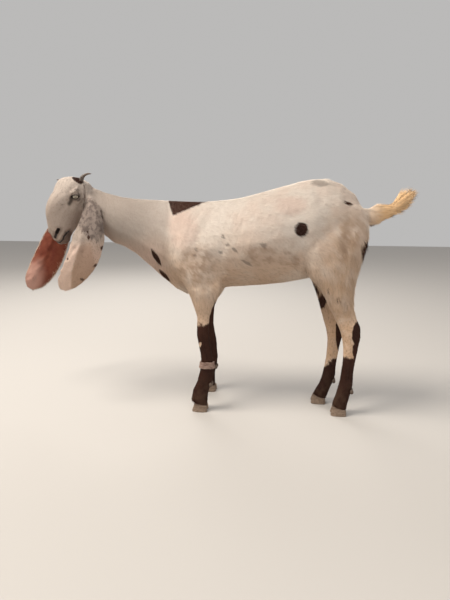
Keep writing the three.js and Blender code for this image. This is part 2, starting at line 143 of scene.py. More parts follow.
# %% The head's own frame
# Its x runs to the goat's left, its y backwards and its z out of the forehead; the origin is the poll.
HEAD_TURN, HEAD_DROP, HEAD_TILT = (math.radians(v) for v in (57, 52, 6))
turned = Matrix.Rotation(HEAD_TURN, 3, "Z") @ Matrix.Rotation(HEAD_DROP, 3, "X")
turned = turned @ Matrix.Rotation(HEAD_TILT, 3, "Y")
EYES_BEHIND, EYES_BELOW = -80 * MM, -5 * MM  # from the poll to the line between the eyes
poll = (middle("eye_left") + middle("eye_right")) / 2 - turned @ Vector((0, EYES_BEHIND, EYES_BELOW))
head_axes = np.array(turned)


def from_head(point):
    """A point of the head's frame, given in millimetres, in the whole goat's frame."""
    return poll + turned @ (Vector(point) * MM)


print("poll", [round(v, 4) for v in poll])

# %% Copies of the fleshy solids
FLESH = ["head", "neck", "trunk", "tail", "ear_left", "ear_right",
         "foreleg_left", "foreleg_right", "hindleg_left", "hindleg_right"]
PART = {name: number for number, name in enumerate(FLESH)}
SWELL = 1.2 * MM
NET = 2.8 * MM
# Balls that close the holes which the head solid has for its horns and nostrils, in head millimetres.
PLUGS = [((34, -21, -3), 12), ((17, -218, -43), 8)]


def swollen(node, by):
    """A copy of a solid, each side moved out, as a bmesh."""
    work = bmesh.new()
    work.from_mesh(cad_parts[node].data)
    bmesh.ops.remove_doubles(work, verts=work.verts, dist=0.02 * MM)
    work.normal_update()
    for vertex, normal in [(v, v.normal.copy()) for v in work.verts]:
        vertex.co += normal * by
    return work


def plug(centre, radius):
    work = bmesh.new()
    bmesh.ops.create_icosphere(work, subdivisions=3, radius=radius * MM,
                               matrix=Matrix.Translation(from_head(centre)))
    return work


def join_up(work, number, total):
    """Adds one labelled solid to the pile."""
    label = work.faces.layers.int.new("part")
    for face in work.faces:
        face[label] = number
    single = bpy.data.meshes.new("single")
    work.to_mesh(single)
    work.free()
    total.from_mesh(single)
    bpy.data.meshes.remove(single)


pile = bpy.data.meshes.new("pile")
joined = bmesh.new()
joined.faces.layers.int.new("part")
for node in FLESH:
    join_up(swollen(node, SWELL), PART[node], joined)
for side, sign in SIDES.items():
    join_up(swollen(f"eye_{side}", 0), PART["head"], joined)
    for (x, y, z), radius in PLUGS:
        join_up(plug((x * sign, y, z), radius), PART["head"], joined)
joined.to_mesh(pile)
joined.free()
pile_object = added("pile", pile)
print("pile", len(pile.polygons), "faces")


# %% Remeshing, and remembering which part each point came from
def nodes_modifier(thing, tree, values):
    """Adds a Geometry Nodes modifier and sets its named inputs."""
    modifier = thing.modifiers.new(tree.name, "NODES")
    modifier.node_group = tree
    for socket in tree.interface.items_tree:
        if socket.item_type == "SOCKET" and socket.in_out == "INPUT" and socket.name in values:
            modifier[socket.identifier] = values[socket.name]
    return modifier


def baked(thing, name):
    """The evaluated mesh of an object, as a new plain object in its place."""
    seen = thing.evaluated_get(bpy.context.evaluated_depsgraph_get())
    mesh = bpy.data.meshes.new_from_object(seen)
    mesh.name = name
    plain = added(name, mesh)
    bpy.data.objects.remove(thing)
    return plain


remesh = pile_object.modifiers.new("net", "REMESH")
remesh.mode = "VOXEL"
remesh.voxel_size = NET
skin = baked(pile_object, "skin")
print("net", len(skin.data.polygons), "faces")


# %% Which part each point came from
def new_tree(name, inputs):
    """An empty Geometry Nodes tree with a geometry socket each way and the given named inputs."""
    tree = bpy.data.node_groups.new(name, "GeometryNodeTree")
    tree.interface.new_socket("Geometry", in_out="INPUT", socket_type="NodeSocketGeometry")
    tree.interface.new_socket("Geometry", in_out="OUTPUT", socket_type="NodeSocketGeometry")
    for label, kind, default in inputs:
        socket = tree.interface.new_socket(label, in_out="INPUT", socket_type="NodeSocket" + kind)
        if default is not None:
            socket.default_value = default
    return tree


class Wiring:
    """Adds nodes to a tree: settings by name, then inputs by socket name or number."""

    def __init__(self, tree):
        self.tree = tree
        self.given = tree.nodes.new("NodeGroupInput").outputs

    def add(self, kind, settings=None, inputs=None):
        node = self.tree.nodes.new(kind)
        for name, value in (settings or {}).items():
            setattr(node, name, value)
        for key, value in (inputs or {}).items():
            socket = node.inputs[key]
            if isinstance(value, bpy.types.NodeSocket):
                self.tree.links.new(value, socket)
            else:
                socket.default_value = value
        return node.outputs

    def maths(self, operation, *values):
        return self.add("ShaderNodeMath", {"operation": operation}, dict(enumerate(values)))[0]

    def times(self, first, *others):
        for other in others:
            first = self.maths("MULTIPLY", first, other)
        return first

    def plus(self, first, *others):
        for other in others:
            first = self.maths("ADD", first, other)
        return first

    def minus(self, first, second):
        return self.maths("SUBTRACT", first, second)

    def rest_of(self, share):
        return self.minus(1.0, share)

    def vector(self, operation, *values):
        out = self.add("ShaderNodeVectorMath", {"operation": operation}, dict(enumerate(values)))
        return out["Value" if operation in ("LENGTH", "DOT_PRODUCT", "DISTANCE") else "Vector"]

    def scaled(self, vector, share):
        return self.add("ShaderNodeVectorMath", {"operation": "SCALE"}, {"Vector": vector, "Scale": share})[0]

    def apart(self, vector):
        """The three parts of a vector."""
        return list(self.add("ShaderNodeSeparateXYZ", {}, {0: vector}))

    def together(self, *parts):
        """A vector of up to three parts."""
        return self.add("ShaderNodeCombineXYZ", {}, dict(enumerate(parts)))[0]

    def named(self, name, kind="FLOAT"):
        """An array that the mesh carries."""
        return self.add("GeometryNodeInputNamedAttribute", {"data_type": kind}, {"Name": name})[0]

    def store(self, geometry, name, kind, value):
        """Writes an array on the points of a geometry."""
        return self.add("GeometryNodeStoreNamedAttribute", {"data_type": kind, "domain": "POINT"},
                        {"Geometry": geometry, "Name": name, "Value": value})[0]

    def finish(self, geometry):
        self.tree.links.new(geometry, self.tree.nodes.new("NodeGroupOutput").inputs[0])


tree = new_tree("part_labels", [("Source", "Object", None)])
wire = Wiring(tree)
solids = wire.add("GeometryNodeObjectInfo", {}, {"Object": wire.given["Source"]})["Geometry"]
nearest = wire.add("GeometryNodeSampleNearestSurface", {"data_type": "INT"},
                   {"Mesh": solids, "Value": wire.named("part", "INT")})
wire.finish(wire.store(wire.given["Geometry"], "part", "INT", nearest[0]))
source = added("source", pile)
source.hide_render = True


def labelled(thing):
    """The same mesh, and for each of its points the number of the solid that it came from."""
    nodes_modifier(thing, bpy.data.node_groups["part_labels"], {"Source": source})
    plain = baked(thing, "skin")
    numbers = np.empty(len(plain.data.vertices), int)
    plain.data.attributes["part"].data.foreach_get("value", numbers)
    return plain, numbers


skin, part = labelled(skin)
print("points of each part", dict(zip(FLESH, np.bincount(part))))


# %% The net as arrays
def read(items, name, width, kind=float):
    values = np.empty(len(items) * width, kind)
    items.foreach_get(name, values)
    return values.reshape(-1, width) if width > 1 else values


def between(value, low, high):
    """0 below low, 1 above high and a smooth rise from one to the other."""
    share = np.clip((value - low) / (high - low), 0, 1)
    return share * share * (3 - 2 * share)


def unit(rows):
    return rows / np.maximum(np.linalg.norm(rows, axis=-1, keepdims=True), 1e-12)


class Net:
    """A mesh whose points are moved as one array."""

    def __init__(self, mesh):
        self.mesh = mesh
        self.points = read(mesh.vertices, "co", 3)
        self.edges = read(mesh.edges, "vertices", 2, np.int32)
        self.ties = np.bincount(self.edges.ravel(), minlength=len(self.points))

    def around(self, values):
        """The mean of each point's neighbours, for an array with one row for each point."""
        a, b = self.edges.T
        columns = values.reshape(len(values), -1).T
        total = [np.bincount(a, c[b], len(c)) + np.bincount(b, c[a], len(c)) for c in columns]
        return (np.stack(total, 1) / self.ties[:, None]).reshape(values.shape)

    def soft(self, values, times, share=1.0):
        """Values blurred over the net; share may hold some points."""
        for _ in range(times):
            values = values + share * (self.around(values) - values)
        return values

    def facing(self):
        self.mesh.vertices.foreach_set("co", self.points.ravel())
        self.mesh.update()
        return read(self.mesh.vertex_normals, "vector", 3)

    def ease(self, times, share):
        """Melts facets but keeps the size: what the blur took away is blurred and given back."""
        eased = self.soft(self.points, times, share)
        self.points = eased + self.soft(self.points - eased, times, share)


net = Net(skin.data)
ears = np.isin(part, [PART["ear_left"], PART["ear_right"]])
legs = np.isin(part, [PART[name] for name in FLESH if "leg" in name])
body = np.isin(part, [PART["neck"], PART["trunk"]])
head = part == PART["head"]
tail = part == PART["tail"]
flat = between(np.linalg.norm(net.soft(net.facing(), 3), axis=1), 0.80, 0.96)[:, None]

groups = np.stack([head, body | legs, tail, ears], 1).astype(float)
blurred = net.soft(groups, 8)
joint = between(1 - blurred.max(axis=1), 0.04, 0.35)[:, None]
is_head, is_body, is_tail, is_ear = blurred.T
is_leg = net.soft(legs.astype(float), 8)
print("points", len(net.points), "on rims", int((flat < 0.5).sum()), "near joints", int((joint > 0.5).sum()))

# %% Easing, part by part
net.ease(5, 0.9 * flat)
net.points = net.soft(net.points, 16, 0.9 * joint * flat)
net.ease(34, 0.9 * flat * np.clip(is_body - is_leg, 0, 1)[:, None])
net.ease(12, 0.9 * flat * is_leg[:, None])
net.ease(8, 0.9 * flat * is_tail[:, None])

# %% [markdown]
# The solids reach out to the tips of the coat, so the skin sinks into them by the depth of the
# coat: least on the face and ears, most on the thighs. The lids, lips and ear folds made later
# rise from it again, and stand past the solids in places. Near the claws the skin only sinks
# sideways, or a gap would open above them.

# %% Sinking the skin by the depth of the coat
COAT = {"face": 1.2, "ear": 0.7, "leg": 1.8, "trunk": 3.2, "thigh": 5.0}
net_facing = net.facing()
tall = net.points[:, 2]
behind = net.points[:, 1]
hip_y = place("hindleg_left", 0, 0.1, 0).y
thigh = between(behind, hip_y - 0.05, hip_y + 0.06) * between(tall, 0.36, 0.47)
depth = COAT["trunk"] * (is_body + is_tail) + COAT["face"] * is_head + COAT["ear"] * is_ear
depth += (COAT["thigh"] - COAT["trunk"]) * thigh * is_body
depth += (COAT["leg"] - COAT["trunk"]) * is_leg * (1 - between(tall, 0.38, 0.5))
depth = net.soft(depth, 12) * MM + SWELL
sideways = 1 - between(tall, 0.05, 0.07)
net_facing[:, 2] *= 1 - sideways
net.points -= net_facing * depth[:, None]
print("sunk by", round(depth.min() / MM, 1), "to", round(depth.max() / MM, 1), "mm")

# %% The dock of the tail is much slimmer than its brush
low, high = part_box("tail")
SLIMMING, SHORTENING, LOWERING = 0.55, 0.42, 0.12
dock_path = [(low.y - 0.03, -0.030), (low.y + 0.03, -0.020), (low.y + 0.08, 0.000), (high.y, 0.036)]
dock_y, dock_z = np.array(dock_path).T
core = np.stack([np.full(len(tall), middle("tail").x), net.points[:, 1],
                 middle("tail").z + np.interp(net.points[:, 1], dock_y, dock_z)], 1)
slim = is_tail * between(net.points[:, 1], low.y + 0.005, low.y + 0.065)
net.points += (core - net.points) * (SLIMMING * slim)[:, None]
pulled = net.points[:, 1] - (low.y + 0.05)
net.points[:, 1] -= SHORTENING * np.clip(pulled, 0, None) * is_tail
net.points[:, 2] -= LOWERING * np.clip(pulled, 0, None) * is_tail
net.facing()
print("dock points", int((slim > 0.5).sum()))

# %% [markdown]
# ## Sculpting by rule
#
# A sculptor pushes clay along its own surface; here each push is a distance times a soft weight.
# Bones and muscles of the body are short streaks, each given by its two ends on a side view of the
# part it belongs to, a radius and a height. Both sides of the goat get the same list.

# %% Streaks on a side view
def streak(points, start, end, radius):
    """Weight of each point near the line from start to end: 1 on it, fading over the radius."""
    start, end = np.asarray(start, float), np.asarray(end, float)
    line = end - start
    length = max(float(line @ line), 1e-12)
    share = np.clip((points - start) @ line / length, 0, 1)
    away = np.linalg.norm(points - start - share[:, None] * line, axis=1)
    return np.exp(-(away / radius) ** 2)


def ripple(points, wavelength, seed):
    """A smooth random field between about -1 and 1, from a few crossed waves."""
    rng = np.random.default_rng(seed)
    waves = unit(rng.normal(size=(7, points.shape[1]))) * rng.uniform(0.6, 1.5, (7, 1))
    return np.sin(points @ waves.T * math.tau / wavelength + rng.uniform(0, math.tau, 7)).mean(1) * 1.8


# Shares along and up the trunk's box, then radius and height in millimetres.
TRUNK_FORMS = [
    ("front edge of the shoulder blade", (0.195, 0.80), (0.105, 0.42), 22, 1.8),
    ("ridge of the shoulder blade", (0.240, 0.78), (0.140, 0.40), 14, 1.8),
    ("hollow behind that ridge", (0.290, 0.76), (0.200, 0.48), 20, -1.6),
    ("point of the shoulder", (0.095, 0.33), (0.105, 0.29), 24, 4.0),
    ("upper arm muscle", (0.240, 0.40), (0.215, 0.24), 34, 5.0),
    ("groove behind the arm", (0.325, 0.46), (0.300, 0.16), 20, -4.4),
    ("elbow", (0.300, 0.13), (0.306, 0.10), 16, 4.0),
    ("hollow of the flank", (0.650, 0.68), (0.690, 0.54), 34, -6.5),
    ("edge of the loin", (0.520, 0.86), (0.690, 0.87), 12, 2.6),
    ("hip bone", (0.715, 0.85), (0.728, 0.82), 17, 5.0),
    ("muscle before the hip", (0.740, 0.72), (0.735, 0.45), 26, 3.5),
    ("rump between hip and pin bone", (0.790, 0.86), (0.890, 0.80), 22, -2.2),
    ("pin bone", (0.950, 0.77), (0.960, 0.75), 16, 5.0),
    ("groove at the back of the thigh", (0.905, 0.62), (0.880, 0.30), 20, -2.4),
    ("fold from belly to stifle", (0.655, 0.34), (0.700, 0.22), 13, 4.0),
    ("stifle", (0.735, 0.27), (0.742, 0.22), 22, 3.5),
    ("hollow before the fold", (0.600, 0.42), (0.640, 0.30), 26, -3.0),
]
NECK_FORMS = [
    ("groove of the great vein", (0.10, 0.53), (0.86, 0.10), 13, -3.6),
    ("muscle above that groove", (0.12, 0.66), (0.88, 0.28), 16, 2.6),
    ("windpipe", (0.12, 0.40), (0.60, 0.15), 13, 2.4),
    ("muscle of the crest", (0.20, 0.93), (0.85, 0.80), 16, 1.8),
]


def side_view(node):
    """The net's points as distances in millimetres over a part's side view, and that box's size."""
    low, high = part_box(node)
    view = (net.points[:, 1:] - np.array(low[1:])) / MM
    return view, np.array([high.y - low.y, high.z - low.z]) / MM


net.normals = net.facing()
spine_x = middle("tail").x
off_spine = between(np.abs(net.points[:, 0] - spine_x), 0.012, 0.040)
for node, forms in (("trunk", TRUNK_FORMS), ("neck", NECK_FORMS)):
    view, size = side_view(node)
    for name, start, end, radius, height in forms:
        weight = streak(view, np.multiply(start, size), np.multiply(end, size), radius)
        net.points += net.normals * (weight * off_spine * is_body * height * MM)[:, None]

# Ribs show faintly on a lean goat: slanting bands on the middle of the barrel.
view, size = side_view("trunk")
along, up = (view / size).T
barrel = between(along, 0.30, 0.38) * (1 - between(along, 0.56, 0.64))
barrel *= between(up, 0.18, 0.30) * (1 - between(up, 0.70, 0.84))
RIB_GAP, RIB_SLANT, RIB_HEIGHT = 29, 0.30, 0.30
ribs = np.sin((view[:, 0] - RIB_SLANT * view[:, 1]) * math.tau / RIB_GAP)
patchy = 0.5 + 0.5 * ripple(net.points, 0.12, 21)
net.points += net.normals * (ribs * patchy * barrel * is_body * RIB_HEIGHT * MM)[:, None]
# Soft unevenness under the coat.
net.points += net.normals * (ripple(net.points, 0.085, 3) * (is_body + is_leg * 0.3) * 0.9 * MM)[:, None]
print("streaks", len(TRUNK_FORMS) + len(NECK_FORMS))

# %% Legs: knees, tendons and the strings above the hocks
# Height in metres, then -1 at the leg's front edge to 1 at its back edge, radius and height in millimetres.
LEG_FORMS = {
    "fore": [
        ("groove before the tendons", (0.155, 0.28), (0.262, 0.25), 4.5, -2.6),
        ("tendons", (0.150, 0.80), (0.262, 0.78), 4.5, 1.0),
        ("knee", (0.288, -0.15), (0.312, -0.15), 13, 2.4),
        ("hollow above the knee", (0.345, 0.15), (0.365, 0.10), 10, -1.6),
        ("forearm muscle", (0.395, -0.10), (0.440, -0.20), 18, 2.5),
        ("fetlock", (0.124, 0.20), (0.132, 0.30), 10, 1.8),
        ("hollow of the pastern", (0.080, 0.30), (0.090, 0.30), 8, -1.6),
    ],
    "hind": [
        ("groove before the tendons", (0.140, 0.30), (0.270, 0.32), 4.5, -2.6),
        ("hock", (0.300, -0.20), (0.315, 0.10), 13, 2.2),
        ("hollow before the hock string", (0.345, 0.42), (0.425, 0.50), 9, -5.0),
        ("hock string", (0.340, 0.88), (0.420, 0.92), 5, 1.2),
        ("gaskin muscle", (0.400, -0.20), (0.450, -0.10), 20, 3.0),
        ("fetlock", (0.112, 0.20), (0.122, 0.30), 10, 1.8),
        ("hollow of the pastern", (0.072, 0.30), (0.082, 0.30), 8, -1.6),
    ],
}
BAND = 4 * MM
net.normals = net.facing()
for end, forms in LEG_FORMS.items():
    for side in SIDES:
        mine = np.flatnonzero(part == PART[f"{end}leg_{side}"])
        spots = net.points[mine]
        level = (spots[:, 2] / BAND).astype(int)
        front, back = np.full(level.max() + 1, 9.0), np.full(level.max() + 1, -9.0)
        np.minimum.at(front, level, spots[:, 1])
        np.maximum.at(back, level, spots[:, 1])
        centre, half = (front + back)[level] / 2, (back - front)[level] / 2
        outside = between(np.abs(net.normals[mine, 0]), 0.25, 0.7)
        for name, (z0, t0), (z1, t1), radius, height in forms:
            share = np.clip((spots[:, 2] - z0) / (z1 - z0), 0, 1)
            away = np.hypot(spots[:, 1] - centre - half * (t0 + (t1 - t0) * share),
                            spots[:, 2] - (z0 + (z1 - z0) * share))
            weight = np.exp(-(away / (radius * MM)) ** 2) * outside
            net.points[mine] += net.normals[mine] * (weight * height * MM)[:, None]
net.points = net.soft(net.points, 1, 0.6)

# %% [markdown]
# ## Ears like long leaves
#
# A lop ear is a thin sheet of gristle with skin on both faces. Waves along and across it move both
# faces the same way, so it stays equally thick: long folds from the root, a rolled front edge, and a
# fine crumple where the leaf is broadest.

# %% Easing the ears' facets and rims, then folding them
ear_share = is_ear[:, None]
net.ease(16, 0.9 * flat * ear_share)
net.ease(6, 0.9 * ear_share)
net.points = net.soft(net.points, 3, 0.7 * ear_share)


def ear_sheet(side, points):
    """Share from root to tip, share across from front edge to back edge, millimetres along and across."""
    mine = read(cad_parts[f"ear_{side}"].data.vertices, "co", 3)
    down, across, out = np.linalg.svd(mine - mine.mean(0), full_matrices=False)[2]
    down, across, out = -down * np.sign(down[2]), across * np.sign(across[1]), out * np.sign(out[0])
    s, c = (points - mine.mean(0)) @ down, (points - mine.mean(0)) @ across
    rows, columns = (mine - mine.mean(0)) @ down, (mine - mine.mean(0)) @ across
    length = (s - rows.min()) / (rows.max() - rows.min())
    steps = np.linspace(0, 1, 15)
    level = (rows - rows.min()) / (rows.max() - rows.min())
    front = [columns[np.abs(level - step) < 0.06].min() for step in steps]
    back = [columns[np.abs(level - step) < 0.06].max() for step in steps]
    front, back = np.interp(length, steps, front), np.interp(length, steps, back)
    return length, (c - front) / (back - front), s / MM, c / MM, out


for side in SIDES:
    mine = np.flatnonzero(part == PART[f"ear_{side}"])
    length, breadth, s, c, out = ear_sheet(side, net.points[mine])
    sheet = np.stack([s * 0.6, c], 1)
    wander = 0.05 * ripple(sheet, 120, 11)
    lower = between(length, 0.34, 0.52) * (1 - between(length, 0.90, 1.0))
    roll = 8.0 * (1 - between(breadth + wander, 0.42, 0.56)) * lower
    gristle = 1.6 * np.sin((breadth + wander * 1.5) * 17)
    gristle *= between(length, 0.06, 0.2) * (1 - between(length, 0.35, 0.6))
    lumps = 2.4 * ripple(np.stack([s, c], 1), 30, 5) * lower * (1 - between(breadth, 0.42, 0.62))
    veins = 0.5 * ripple(np.stack([s * 0.35, c], 1), 17, 31) * between(length, 0.15, 0.35)
    curl = -4.0 * (1 - between(breadth, 0.0, 0.10)) * between(length, 0.1, 0.3)
    moved = (roll + gristle + lumps + veins + curl) * between(length, 0.03, 0.14)
    net.points[mine] += out * (moved * MM * (1 if side == "left" else 0.7))[:, None]
net.points = net.soft(net.points, 2, 0.6 * ear_share)
net.facing()

# %% [markdown]
# ## A finer net for the head
#
# Lids and lips are a millimetre or two thick, finer than the net. So the faces of the head are
# halved each way, and those round the eyes, the nostrils and the mouth once more.

# %% Halving faces
def in_head(points):
    """Points in the head's frame, in millimetres."""
    return (points - np.array(poll)) @ head_axes / MM


def halve(mesh, chosen):
    """Splits the chosen faces into four, with a clean edge to the rest."""
    work = bmesh.new()
    work.from_mesh(mesh)
    work.faces.ensure_lookup_table()
    edges = {edge for number in np.flatnonzero(chosen) for edge in work.faces[number].edges}
    bmesh.ops.subdivide_edges(work, edges=list(edges), cuts=1, use_grid_fill=True)
    bmesh.ops.triangulate(work, faces=[face for face in work.faces if len(face.verts) > 4])
    work.to_mesh(mesh)
    work.free()


def face_middles(mesh):
    return read(mesh.polygons, "center", 3)


spots = in_head(face_middles(skin.data))
halve(skin.data, (np.abs(spots[:, 0]) < 80) & (spots[:, 1] < 8) & (spots[:, 1] > -250) & (spots[:, 2] > -125))
spots = in_head(face_middles(skin.data))
spots[:, 0] = np.abs(spots[:, 0])
EYE = Vector((45, -80, -5))
near_eye = np.linalg.norm(spots - EYE, axis=1) < 30
muzzle = (spots[:, 1] < -172) & (spots[:, 1] > -250) & (spots[:, 2] < -22) & (spots[:, 0] < 40)
halve(skin.data, near_eye | muzzle)
net = Net(skin.data)
print("finer net", len(net.points), "points")

# %% [markdown]
# ## The head
#
# A goat's eye sits in a bony ring on the side of the skull. The lids are a skin stretched over the
# ball, so they are made as a slightly larger ball with an almond opening: inside the opening the skin
# dives behind the eyeball. The nostrils and the mouth are dents along short curves, each with a
# raised lip beside it.

# %% The head in mirrored coordinates
spots = in_head(net.points)
brow = streak(np.abs(spots) * [1, 0, 0] + spots * [0, 1, 1], (42, -46, 14), (50, -70, 14), 15)
net.points = net.soft(net.points, 60, 0.8 * brow[:, None])
spots = in_head(net.points)
side_sign = np.where(spots[:, 0] < 0, -1.0, 1.0)
reach = (np.abs(spots[:, 0]) < 95) & (spots[:, 1] < 30) & (spots[:, 1] > -260)
reach &= (spots[:, 2] > -130) & (spots[:, 2] < 60)
work_on = np.flatnonzero(reach)
q = spots[work_on]
q[:, 0] = np.abs(q[:, 0])
q_facing = net.facing()[work_on] @ head_axes
q_facing[:, 0] *= side_sign[work_on]


def along_curve(points, curve):
    """Distance to a chain of short straight pieces."""
    best = np.full(len(points), 1e9)
    for start, end in zip(curve[:-1], curve[1:]):
        start, line = np.array(start, float), np.array(end, float) - np.array(start, float)
        share = np.clip((points - start) @ line / (line @ line), 0, 1)
        best = np.minimum(best, np.linalg.norm(points - start - share[:, None] * line, axis=1))
    return best


def push(weight, height):
    q[:] += q_facing * (weight * height)[:, None]


# Start, end, radius and height, all in head millimetres on the left side.
HEAD_FORMS = [
    ("brow ridge", (45, -66, 15), (50, -90, 13), 10, 1.0),
    ("top of the brow", (51, -72, 19), (54, -56, 15), 9, -3.0),
    ("hollow between brow and horn", (47, -44, 8), (45, -38, 4), 11, -1.4),
    ("cheekbone", (50, -100, -26), (50, -42, -32), 7, 3.0),
    ("hollow under the cheekbone", (44, -104, -44), (46, -58, -50), 9, -1.6),
    ("chewing muscle", (42, -62, -72), (40, -50, -88), 22, 2.4),
    ("hollow before that muscle", (36, -118, -66), (32, -126, -84), 16, -3.4),
    ("edge of the lower jaw", (12, -100, -116), (8, -204, -97), 14, 4.5),
    ("hollow beside the nose bone", (36, -112, 6), (27, -172, 4), 9, -2.0),
    ("hollow before the eye", (44, -104, -8), (40, -122, -16), 9, -2.2),
    ("nose bone", (9, -100, 42), (9, -180, 26), 9, 1.4),
    ("end of the nose bone", (8, -196, 14), (8, -204, 6), 8, -1.6),
    ("upper lip", (24, -206, -50), (17, -228, -57), 8, 2.6),
    ("cheek behind the mouth", (26, -180, -58), (22, -170, -70), 9, 1.2),
    ("lower lip", (6, -236, -82), (20, -218, -80), 8, 5.0),
    ("chin", (4, -224, -96), (6, -212, -100), 12, 4.0),
    ("swelling over the nostril", (20, -204, -30), (18, -222, -32), 7, 2.2),
]
for name, start, end, radius, height in HEAD_FORMS:
    push(streak(q, start, end, radius), height)
push(streak(q, (0, -60, 40), (0, -110, 44), 9), -1.2)  # the furrow between the eyes

# %% Lids round each eye
LOOK = np.array(Vector((0.90, -0.36, 0.23)).normalized())
BACK_CORNER = np.array((0.55, 0.54, -0.64))
ALONG = unit(BACK_CORNER - LOOK * (BACK_CORNER @ LOOK))
UPWARD = np.cross(ALONG, LOOK)
UPWARD *= np.sign(UPWARD[1])
BALL = 14.5  # radius of the eyeball, in millimetres as all sizes here
LID = 2.0
FRONT_HALF, BACK_HALF = 15.0, 13.5  # of the almond opening, to its two corners
UPPER, LOWER = 5.3, 4.7  # height of its two arches


def eye_coordinates(points):
    away = points - np.array(EYE)
    return away @ ALONG, away @ UPWARD, away @ LOOK


def from_lid_edge(u, v):
    """Distance to the edge of the opening between the lids, below 0 inside the opening."""
    half = np.where(u < 0, FRONT_HALF, BACK_HALF)
    arch = np.where(v > 0, UPPER, LOWER) * np.clip(1 - (u / half) ** 2, 0, 1) ** 0.72
    return np.where(np.abs(u) < half, np.abs(v) - arch, np.hypot(np.abs(u) - half, v))


u, v, w = eye_coordinates(q)
around = np.hypot(u, v)
edge = from_lid_edge(u, v)
capped = np.minimum(around, BALL)
lid_surface = np.sqrt((BALL + LID) ** 2 - capped ** 2) - 0.35 * (around - capped)
lid_surface -= 0.9 * np.exp(-((edge - 4.2) / 0.9) ** 2) * (v > 0) * (np.abs(u) < 15)
lid_surface -= 0.6 * np.exp(-((edge - 3.4) / 0.8) ** 2) * (v < 0) * (np.abs(u) < 14)
lid_surface += 0.45 * np.exp(-((edge - 1.0) / 0.7) ** 2)
ball_surface = np.sqrt(np.maximum(BALL ** 2 - np.minimum(around, BALL - 0.5) ** 2, 1)) - 3.0
near = (np.abs(w) < 30) & (w > -8)
print("points round the eye", int(((around < 22) & near).sum()))
above = np.clip(v / np.maximum(around, 1), 0, 1)
blend_in = (1 - between(around, 12 - 1.0 * above, 25 - 7 * above)) * near
w_new = w + (lid_surface - w) * blend_in
opening = 1 - between(edge, -0.5, 0.7)
w_new = w_new + (np.minimum(ball_surface, lid_surface - 3.0) - w_new) * opening * near * (around < 22)
q += LOOK * (w_new - w)[:, None]

# %% Nostrils, lips and the groove between the nostrils
NOSTRIL = [(27, -208, -30), (24, -219, -33), (18, -227, -38), (10, -233, -45)]
MOUTH = [(0, -240, -72), (9, -239, -71), (18, -234, -69), (25, -227, -67), (30, -217, -61), (31, -205, -61)]
MOUTH_BACK = [(30, -217, -61), (31, -205, -61), (27, -194, -68), (22, -187, -74)]
CLEFT = [(0, -240, -50), (0, -242, -72)]
EAR_FOLD = [(47, -27, -13), (52, -39, -21), (53, -54, -30), (47, -67, -43), (42, -80, -56), (38, -93, -68)]


def bank(gap, away, width, height):
    """Raises a band at a distance from a curve; a height below 0 presses it in."""
    push(np.exp(-((gap - away) / width) ** 2), height)


gap = along_curve(q, NOSTRIL)
upper_end = along_curve(q, NOSTRIL[:2])
bank(gap, 6.0, 2.6, 1.0)
bank(upper_end, 7.5, 2.8, 1.2)
bank(gap, 0, 2.5, -4.5)
bank(upper_end, 0, 3.6, -3.5)
gap = along_curve(q, MOUTH)
bank(gap, 4.5, 2.4, 1.1)
bank(gap, 0, 1.3, -4.0)
bank(along_curve(q, MOUTH_BACK), 0, 2.6, -4.2)
bank(along_curve(q, CLEFT), 0, 1.6, -2.0)
gap = np.where(side_sign[work_on] > 0, along_curve(q, EAR_FOLD), np.inf)  # the left ear only
bank(gap, 0, 3.0, -3.2)
bank(gap, 6.5, 3.5, 0.9)
push(ripple(q, 26, 8), 0.35)

q[:, 0] *= side_sign[work_on]
net.points[work_on] = np.array(poll) + (q * MM) @ head_axes.T
net.facing()
print("head points", len(work_on))

# %% [markdown]
# ## Fewer faces, and what each place knows
#
# The net is now finer than the body needs. Collapsing edges keeps faces where the form turns. The
# head is thinned less than the rest, so it is done apart, by weights.

# %% Thinning the net
def thinned(thing, loose, target):
    """Collapses edges between the loose points until about the target number of triangles is left."""
    group = thing.vertex_groups.new(name="thin")
    group.add(np.flatnonzero(loose).tolist(), 1.0, "REPLACE")
    modifier = thing.modifiers.new("thin", "DECIMATE")
    modifier.ratio = target / sum(len(face.vertices) - 2 for face in thing.data.polygons)
    modifier.vertex_group = group.name
    result = baked(thing, "skin")
    result.vertex_groups.clear()
    return result


def in_face_zone(thing):
    spots = in_head(read(thing.data.vertices, "co", 3))
    return (spots[:, 1] < 14) & (spots[:, 1] > -255) & (np.abs(spots[:, 0]) < 85) & (spots[:, 2] > -128)


BODY_FACES, HEAD_FACES = 100000, 90000
zone = in_face_zone(skin)
skin.modifiers.new("triangles", "TRIANGULATE")
skin = baked(skin, "skin")
skin = thinned(skin, ~zone, BODY_FACES + 2 * int(zone.sum()))
print("after the body", len(skin.data.polygons), "faces")
zone = in_face_zone(skin)
skin = thinned(skin, zone, BODY_FACES + HEAD_FACES)
print("after the head", len(skin.data.polygons), "faces, points of the head", int(in_face_zone(skin).sum()))

# %% Labels again, and soft shares of each part
skin, part = labelled(skin)
bpy.data.objects.remove(source)
net = Net(skin.data)
facing = net.facing()
place_of = net.points
spots = in_head(place_of)


def share_of(names, passes=6):
    """1 inside the named parts, 0 outside, with a soft step between."""
    return net.soft(np.isin(part, [PART[name] for name in names]).astype(float), passes)


